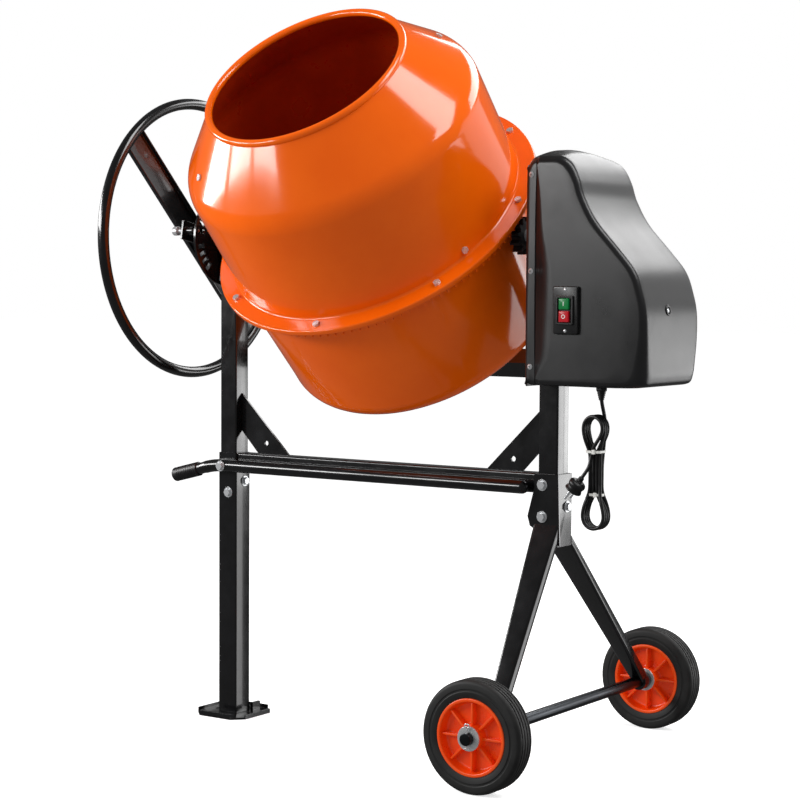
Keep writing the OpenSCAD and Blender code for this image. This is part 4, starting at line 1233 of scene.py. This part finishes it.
@dataclass
class AxleSet:
    """Drawn axle with eased ends, washers and split pins."""

    body: str = "frame"

    def build(self) -> None:
        """Makes the axle, the washers and the pins."""
        low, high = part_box("axle")
        profile = chamfered(0.0, 0.011, 0.0, high[1] - low[1], 0.0014)
        bar = moved(lathe(profile, 40, closed=False), turned_y(AXLE[0], low[1], AXLE[2]))
        make_piece("drawn_axle", [bar], [Paint.DRAWN_STEEL], self.body, ("axle",))
        starts = (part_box("front_tyre")[0][1] - 0.005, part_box("front_stand_leg")[0][1] - 0.0025,
                  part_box("rear_tyre")[0][1] - 0.0045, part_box("rear_tyre")[1][1] + 0.0025)
        washer = lathe(chamfered(0.0112, 0.022, 0.0, 0.0025, 0.0008), 48)
        washers = [moved(washer, turned_y(AXLE[0], y, AXLE[2])) for y in starts]
        make_piece("washer_set", washers, [Paint.ZINC], self.body, ("axle_fixings",))
        pins = []
        for y in (low[1] + 0.007, high[1] - 0.007):
            line = np.array([[0.004, -0.019], [0.001, -0.012], [0.001, 0.017], [0.0046, 0.021],
                             [0.0036, 0.0252], [0.0, 0.0262], [-0.0036, 0.0252], [-0.0046, 0.021],
                             [-0.001, 0.017], [-0.001, -0.012], [-0.005, -0.018]])
            path = smooth_line(line, 5)
            pins.append(tube(np.column_stack([AXLE[0] + path[:, 0], np.full(len(path), y),
                                              AXLE[2] + path[:, 1]]), 0.0012, 12, up=(0, 1, 0)))
        make_piece("split_pin_set", pins, [Paint.ZINC], self.body, ("axle_fixings",))


# ---------------------------------------------------------------- drive housing
class ButtonMark(Enum):
    """Generic marks on the two buttons."""

    BAR = "bar"
    RING = "ring"


@dataclass
class Housing:
    """Two-part moulded drive housing with its screws, switch and gland."""

    half_y: float = 0.105
    wall: float = 0.003
    seam: float = 0.024
    hump: float = 0.018
    body: str = "frame"
    # x, z of the rim, then x, z of the front face's border beside it
    cover: tuple[tuple[float, float, float, float], ...] = (
        (0.024, 0.402, 0.024, 0.391), (0.050, 0.402, 0.046, 0.391), (0.072, 0.401, 0.064, 0.390),
        (0.092, 0.388, 0.081, 0.380), (0.106, 0.362, 0.0955, 0.357), (0.117, 0.330, 0.107, 0.326),
        (0.142, 0.288, 0.133, 0.281), (0.186, 0.240, 0.178, 0.232), (0.218, 0.202, 0.2085, 0.196),
        (0.233, 0.162, 0.2225, 0.159), (0.240, 0.129, 0.2285, 0.128), (0.2415, 0.087, 0.2275, 0.088),
        (0.2405, 0.049, 0.2220, 0.052), (0.2385, 0.016, 0.2150, 0.026), (0.230, 0.003, 0.2040, 0.013),
        (0.190, 0.0, 0.180, 0.010), (0.100, 0.0, 0.100, 0.010), (0.024, 0.0, 0.024, 0.010))
    tray: tuple[tuple[float, float, float, float], ...] = (
        (0.024, 0.0, 0.024, 0.010), (0.012, 0.0, 0.018, 0.010), (0.003, 0.003, 0.012, 0.013),
        (0.0, 0.014, 0.010, 0.020), (0.0, 0.190, 0.010, 0.190), (0.0, 0.366, 0.010, 0.360),
        (0.003, 0.386, 0.012, 0.377), (0.012, 0.398, 0.017, 0.387), (0.024, 0.402, 0.024, 0.391))

    def place(self, points: Array) -> Array:
        """Housing space to the object's: x from the tray's inner face, z from the housing's floor."""
        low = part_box("housing_tray")[0]
        return points + np.array([low[0], 0, low[2]])

    def shell(self, rim: Array, border: Array, seam_gap: float) -> Array:
        """Half shell open at the seam.

        The first parameter runs along the rim. The second goes from the seam over the front face to
        its border, round the front edge, across, round the back edge and over the back face. Round
        an edge a point is border + (rim - border) * sin t, at depth reach * (1 - cos t) behind the
        face, where reach is the border's distance from the rim. The top is raised by hump *
        (1 - share of half_y squared) * high squared * (3 - 2 * high), where high goes from 0 at
        0.25 m up to 1 at 0.40 m, and from 1 near the seam to 0 at 0.105 m from the tray's inner face.

        Args:
            rim: (n, 2) open outline that starts and ends at the seam.
            border: (n, 2) border of the front face.
            seam_gap: half the gap left at the seam.

        Returns:
            (n, m, 3) grid of points.
        """
        sign = 1.0 if rim[:, 0].max() > self.seam + 0.001 else -1.0
        seam = np.column_stack([np.full(len(rim), self.seam + sign * seam_gap),
                                np.linspace(border[0, 1], border[-1, 1], len(rim))])
        rim, border = (np.column_stack([sign * np.maximum(sign * line[:, 0], sign * seam[:, 0]),
                                        line[:, 1]]) for line in (rim, border))
        reach = np.linalg.norm(rim - border, axis=1)[:, None]
        face = np.linspace(0, 1, 7)[None, :-1, None]
        flat = seam[:, None] * (1 - face) + border[:, None] * face
        t = np.linspace(0, math.pi / 2, 8)[None, :, None]
        edge = border[:, None] + (rim - border)[:, None] * np.sin(t)
        edge_y = -self.half_y + reach * (1 - np.cos(t[..., 0]))
        share = np.linspace(-1, 1, 21)[None, 1:-1]
        across_y = share * (self.half_y - reach)
        across = np.repeat(rim[:, None], share.shape[1], 1)
        front = np.concatenate([flat, edge], 1)
        front_y = np.concatenate([np.full(flat.shape[:2], -self.half_y), edge_y], 1)
        xz = np.concatenate([front, across, front[:, ::-1]], 1)
        y = np.concatenate([front_y, across_y, -front_y[:, ::-1]], 1)
        high = np.clip((xz[..., 1] - 0.25) / 0.15, 0, 1) * np.clip((0.105 - xz[..., 0]) / 0.07, 0, 1)
        rise = self.hump * (1 - (y / self.half_y) ** 2) * high * high * (3 - 2 * high)
        return self.place(np.stack([xz[..., 0], y, xz[..., 1] + rise], -1))

    def build_shell(self, name: str, node: str, outline: tuple[tuple[float, ...], ...]) -> None:
        """One half shell with its wall, its faces turned outwards from the middle of its box.

        Args:
            name: the piece's name.
            node: the CAD node.
            outline: x and z of the rim, then x and z of the border, along the shell.
        """
        seam_gap = 0.0006
        line = smooth_line(np.array(outline), 6)
        skin = grid_skin(self.shell(line[:, :2], line[:, 2:], seam_gap))
        piece = make_piece(name, [skin], [Paint.MOULDED_BLACK], self.body, (node,), 50.0)
        centre = np.array(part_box(node)).mean(0)
        mesh = piece.data
        middle, normal = np.empty(len(mesh.polygons) * 3), np.empty(len(mesh.polygons) * 3)
        mesh.polygons.foreach_get("center", middle)
        mesh.polygons.foreach_get("normal", normal)
        if ((middle.reshape(-1, 3) - centre) * normal.reshape(-1, 3)).sum() < 0:
            mesh.flip_normals()
        solid = piece.modifiers.new("wall", "SOLIDIFY")
        solid.thickness = self.wall
        solid.offset = -1.0

    def screw(self, x: float, z: float, side: int) -> list[Skin]:
        """Pan-head screw whose cross recess is painted as shade: two dark crossed strips on the head.

        Args:
            x: its place, in housing space.
            z: its height, in housing space.
            side: -1 on the front face or 1 on the back.

        Returns:
            The head and its two dark strips of painted recess shade.
        """
        head = np.concatenate([[[0.0, 0.0]], [[0.0048, 0.0], [0.0050, 0.0004]],
                               arc(0.0, -0.0045, 0.00735, 47, 75, 6), [[0.0, 0.0019]]])
        place = frame_matrix(self.place(np.array([x, side * self.half_y, z])), np.array([0, side, 0]))
        recess_shade_bars = []
        for turn in (0, 90):
            a = math.radians(turn + 20)
            outline = round_corners(np.array([[-0.0021, -0.00045], [0.0021, -0.00045], [0.0021, 0.00045],
                                              [-0.0021, 0.00045]]), 0.0003, 3)
            spin = np.array([[math.cos(a), -math.sin(a)], [math.sin(a), math.cos(a)]])
            bar = moved(rounded_prism(outline @ spin.T, 0.0012, 0.00275, 0.0001, 2), place)
            # dark finish on the strips: painted shade of the cross recess
            bar.finish = 1
            recess_shade_bars.append(bar)
        return [moved(lathe(head, 28, closed=False), place), *recess_shade_bars]

    def screws(self) -> None:
        """Six seam screws."""
        skins = [s for z in (0.033, 0.202, 0.372) for side in (-1, 1) for s in self.screw(0.014, z, side)]
        # the second finish, dark cast iron, paints the shade in the cross recesses
        make_piece("seam_screw_set", skins, [Paint.ZINC, Paint.CAST_IRON_AND_RECESS_SHADE], self.body, ("housing_screws",))

    def side_screw(self) -> None:
        """Sunk screw cup on the outer side of the cover."""
        ring = np.concatenate([arc(0.0085, 0.0, 0.0012, -90, 90, 6), [[0.0062, 0.0008], [0.0058, -0.002],
                                                                      [0.0, -0.002]], [[0.0, -0.004]],
                               [[0.0085, -0.004]]])
        m = frame_matrix(self.place(np.array([0.2398, -0.015, 0.135])), np.array([0.993, 0, 0.118]),
                         (0, 1, 0))
        head = moved(lathe(np.array([[0.0, 0.0003], [0.0030, 0.0001], [0.0040, -0.0008],
                                     [0.0040, -0.0022], [0.0, -0.0022]]), 24, closed=False), m)
        head.finish = 1
        make_piece("side_screw_cup", [moved(lathe(ring, 32, closed=False), m), head],
                   [Paint.MOULDED_BLACK, Paint.ZINC], self.body)

    def switch(self) -> None:
        """Switch plate, raised frame round the buttons, corner screws and both buttons."""
        low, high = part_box("switch_plate")
        x, z = (low[0] + high[0]) / 2, (low[2] + high[2]) / 2
        y = -self.half_y

        def pad(half_x: float, half_z: float, near: float, far: float, r: float, edge: float) -> Skin:
            """Rounded plate on the front face, from near to far in front of it, with corner radius r."""
            outline = round_corners(np.array([[-half_x, -half_z], [half_x, -half_z], [half_x, half_z],
                                              [-half_x, half_z]]), r, 6)
            return moved(rounded_prism(outline, near, far, edge),
                         frame_matrix(np.array([x, y, z]), np.array([0, -1, 0])))

        skins = [pad(0.025, 0.042, -0.001, 0.0065, 0.004, 0.0018)]
        frame_outer = round_corners(np.array([[-0.0175, -0.0255], [0.0175, -0.0255], [0.0175, 0.0255],
                                              [-0.0175, 0.0255]]), 0.003, 6)
        frame_inner = inset(frame_outer, 0.0045)
        rings = [(frame_outer, 0.0060), (frame_outer, 0.0092), (inset(frame_outer, 0.0010), 0.0102),
                 (inset(frame_outer, 0.0035), 0.0102), (frame_inner, 0.0092), (frame_inner, 0.0060)]
        rim = grid_skin(np.stack([np.column_stack([o, np.full(len(o), h)]) for o, h in rings]),
                        wrap_rows=True, wrap_cols=True)
        skins.append(moved(rim, frame_matrix(np.array([x, y, z]), np.array([0, -1, 0]))))
        for dz in (-0.036, 0.036):
            m = frame_matrix(np.array([x, y - 0.0062, z + dz]), np.array([0, -1, 0]))
            head = moved(lathe(np.array([[0.0, 0.0], [0.0030, 0.0], [0.0029, 0.0007], [0.0018, 0.0013],
                                         [0.0, 0.0015]]), 20, closed=False), m)
            head.finish = 1
            skins.append(head)
        make_piece("switch_body", skins, [Paint.SWITCH_BLACK, Paint.ZINC], self.body, ("switch_plate",))
        self.button("start_button", Paint.GREEN, ButtonMark.BAR)
        self.button("stop_button", Paint.RED, ButtonMark.RING)

    def button(self, node: str, paint: Paint, mark: ButtonMark) -> None:
        """Push button with rounded edges and a generic mark.

        Args:
            node: the CAD node and body.
            paint: its finish.
            mark: which mark is printed on it.
        """
        low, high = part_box(node)
        x, z = (low[0] + high[0]) / 2, (low[2] + high[2]) / 2
        half = (high[0] - low[0]) / 2 - 0.0004
        outline = round_corners(np.array([[-half, -half], [half, -half], [half, half], [-half, half]]),
                                0.0015, 5)
        place = frame_matrix(np.array([x, low[1], z]), np.array([0, -1, 0]))
        skins = [moved(rounded_prism(outline, -0.016, 0.0, 0.0012), place)]
        if mark is ButtonMark.BAR:
            line = round_corners(np.array([[-0.0007, -0.0035], [0.0007, -0.0035], [0.0007, 0.0035],
                                           [-0.0007, 0.0035]]), 0.0003, 3)
            shape = rounded_prism(line, -0.0002, 0.0002, 0.0001, 2)
        else:
            shape = lathe(np.array([[0.0025, -0.0002], [0.0037, -0.0002], [0.0037, 0.0002],
                                    [0.0025, 0.0002]]), 32)
        shape = moved(shape, place)
        shape.finish = 1
        skins.append(shape)
        make_piece(f"{node}_cap", skins, [paint, Paint.MARK], node, (node,))

    def gland(self) -> None:
        """Gland: flanged nut under the floor and a tapered ribbed strain relief."""
        x, y = MainsLead.exit[:2]
        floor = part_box("housing_tray")[0][2]
        place = np.array(Matrix.Translation((x, y, floor)))
        hexagon = round_corners(arc(0, 0, 0.0108, 0, 360, 7)[:-1], 0.001, 3)
        nut = rounded_prism(hexagon, -0.0062, -0.0004, 0.0007)
        rib = np.array([[0.0082, -0.0062], [0.0082, -0.0084], [0.0072, -0.0088], [0.0072, -0.0096]])
        rib_count, rib_step = 5, np.array([-0.0008, -0.0034])
        relief = np.concatenate([[[0.0034, -0.005]], *(rib + rib_step * k for k in range(rib_count)),
                                 [[0.0034, -0.0232]]])
        skins = [moved(nut, place), moved(lathe(relief, 32), place)]
        make_piece("cord_gland_relief", skins, [Paint.SHEATH], self.body, ("cable_gland",))

    def build(self) -> None:
        """Makes the whole housing."""
        self.build_shell("drive_cover", "housing_cover", self.cover)
        self.build_shell("drive_tray", "housing_tray", self.tray)
        self.screws()
        self.side_screw()
        self.switch()
        self.gland()


# ---------------------------------------------------------------- kept CAD pieces
KEPT = {
    "yoke_left_arm": Paint.BLACK_ENAMEL, "yoke_right_arm": Paint.BLACK_ENAMEL,
    "yoke_cross_tube": Paint.BLACK_ENAMEL, "drum_spindle": Paint.CAST_IRON_AND_RECESS_SHADE, "drum_hub": Paint.CAST_IRON_AND_RECESS_SHADE,
    # the blades' dark red enamel is partly painted shade from inside the drum
    "ring_gear": Paint.ORANGE_ENAMEL, "mixing_blade_a": Paint.SHADED_BLADE_ENAMEL,
    "mixing_blade_b": Paint.SHADED_BLADE_ENAMEL,
    "pinion": Paint.CAST_IRON_AND_RECESS_SHADE, "pinion_shaft": Paint.ZINC, "large_pulley": Paint.CAST_IRON_AND_RECESS_SHADE,
    "motor_shaft": Paint.ZINC, "motor_pulley": Paint.CAST_IRON_AND_RECESS_SHADE, "motor_body": Paint.CAST_IRON_AND_RECESS_SHADE,
    "motor_bracket": Paint.CAST_IRON_AND_RECESS_SHADE, "drive_belt": Paint.SHEATH}


def dress_kept() -> None:
    """Puts a finish on each CAD node that stays in view."""
    for name, paint in KEPT.items():
        node = frame["nodes"][name]
        if not node.material_slots:
            node.data.materials.append(None)
        for place in node.material_slots:
            place.material = paint.value.material()
        log.info("%s: kept with %s", name, paint.value.name)


# ---------------------------------------------------------------- studio
@dataclass(frozen=True)
class Panel:
    """A soft light: where it is, where it faces, its width and height, and how bright its face is."""

    name: str
    place: tuple[float, float, float]
    aim: tuple[float, float, float]
    size: tuple[float, float]
    radiance: float

    def build(self) -> None:
        """Adds the light; its power is radiance times pi times its area."""
        data = bpy.data.lights.new(self.name, "AREA")
        data.shape, data.size, data.size_y = "RECTANGLE", self.size[0], self.size[1]
        data.energy = self.radiance * math.pi * self.size[0] * self.size[1]
        lamp = bpy.data.objects.new(self.name, data)
        look = Vector(self.aim) - Vector(self.place)
        turn = look.to_track_quat("-Z", "Y").to_matrix().to_4x4()
        lamp.matrix_world = Matrix.Translation(self.place) @ turn
        lamp.visible_camera = False
        bpy.context.scene.collection.objects.link(lamp)


@dataclass
class Studio:
    """White surroundings with a paned window at the left and bright panels behind and above."""

    panels: tuple[Panel, ...] = (
        Panel("window_pane_1", (-2.15, -0.95, 1.45), (0.36, -0.3, 1.15), (0.95, 0.55), 17.5),
        Panel("window_pane_2", (-1.70, -1.95, 1.45), (0.36, -0.3, 1.15), (0.95, 0.55), 16.0),
        Panel("window_pane_3", (-0.95, -2.70, 1.45), (0.36, -0.3, 1.15), (0.95, 0.55), 13.5),
        Panel("back_low", (3.05, 2.40, 0.10), (0.9, 0.0, 0.10), (1.6, 2.1), 2.2),
        Panel("side_silver", (2.05, 2.15, 0.62), (0.98, 0.0, 0.85), (0.9, 0.9), 2.4),
        Panel("back_small", (1.83, 2.63, 0.42), (0.0, 0.0, 0.45), (0.6, 0.30), 3.0),
        Panel("back_high", (2.2, 2.9, 1.75), (0.5, 0.0, 1.0), (2.6, 0.9), 0.8),
        Panel("back_top", (1.0, 2.9, 2.85), (0.6, 0.0, 1.1), (3.2, 1.1), 5.0),
        Panel("overhead_right", (1.96, 0.0, 2.95), (0.5, -0.1, 1.0), (0.9, 2.2), 7.0))

    def world(self) -> None:
        """White to the camera, softer as fill light, and dim in reflections.

        Strength is fill + (1 - fill) for camera rays - (fill - dim) for glossy rays.
        """
        fill, dim = 0.46, 0.10
        world = bpy.data.worlds.new("studio")
        world.use_nodes = True
        tree = world.node_tree
        rays = node_in(tree, "ShaderNodeLightPath")
        seen = node_in(tree, "ShaderNodeMath", {"operation": "MULTIPLY_ADD"}, {
            0: rays.outputs["Is Camera Ray"], 1: 1.0 - fill, 2: fill})
        strength = node_in(tree, "ShaderNodeMath", {"operation": "MULTIPLY_ADD"}, {
            0: rays.outputs["Is Glossy Ray"], 1: dim - fill, 2: seen.outputs[0]})
        sky = tree.nodes["Background"]
        sky.inputs[0].default_value = (1, 1, 1, 1)
        tree.links.new(strength.outputs[0], sky.inputs[1])
        bpy.context.scene.world = world

    def build(self) -> None:
        """Makes the floor, the sky and the lights."""
        size, glow = 30.0, 0.64
        mesh = bpy.data.meshes.new("floor")
        mesh.from_pydata([(-size, -size, 0), (size, -size, 0), (size, size, 0), (-size, size, 0)], [],
                         [(0, 1, 2, 3)])
        paint = Finish("pale_studio_floor", "#fafafa", "#f8f8f8", 0.8, 0.02).material()
        shader = next(n for n in paint.node_tree.nodes if n.type == "BSDF_PRINCIPLED")
        shader.inputs["Emission Color"].default_value = (1, 1, 1, 1)
        shader.inputs["Emission Strength"].default_value = glow
        mesh.materials.append(paint)
        floor = bpy.data.objects.new("floor", mesh)
        floor.visible_glossy = floor.visible_diffuse = False
        bpy.context.scene.collection.objects.link(floor)
        self.world()
        for panel in self.panels:
            panel.build()
        bpy.context.scene.view_settings.view_transform = "Standard"


def main() -> None:
    """Builds the pieces in order."""
    logging.basicConfig(level=logging.INFO, format="%(message)s")
    place_camera()
    MainsLead().build()
    Drum().build()
    Handwheel().build()
    TubeFrame().build()
    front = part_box("front_tyre")
    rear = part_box("rear_tyre")
    Wheel("front", "front_wheel", front[0][1]).build()
    Wheel("rear", "rear_wheel", rear[0][1]).build()
    AxleSet().build()
    Housing().build()
    dress_kept()
    Studio().build()


if __name__ == "__main__":
    main()
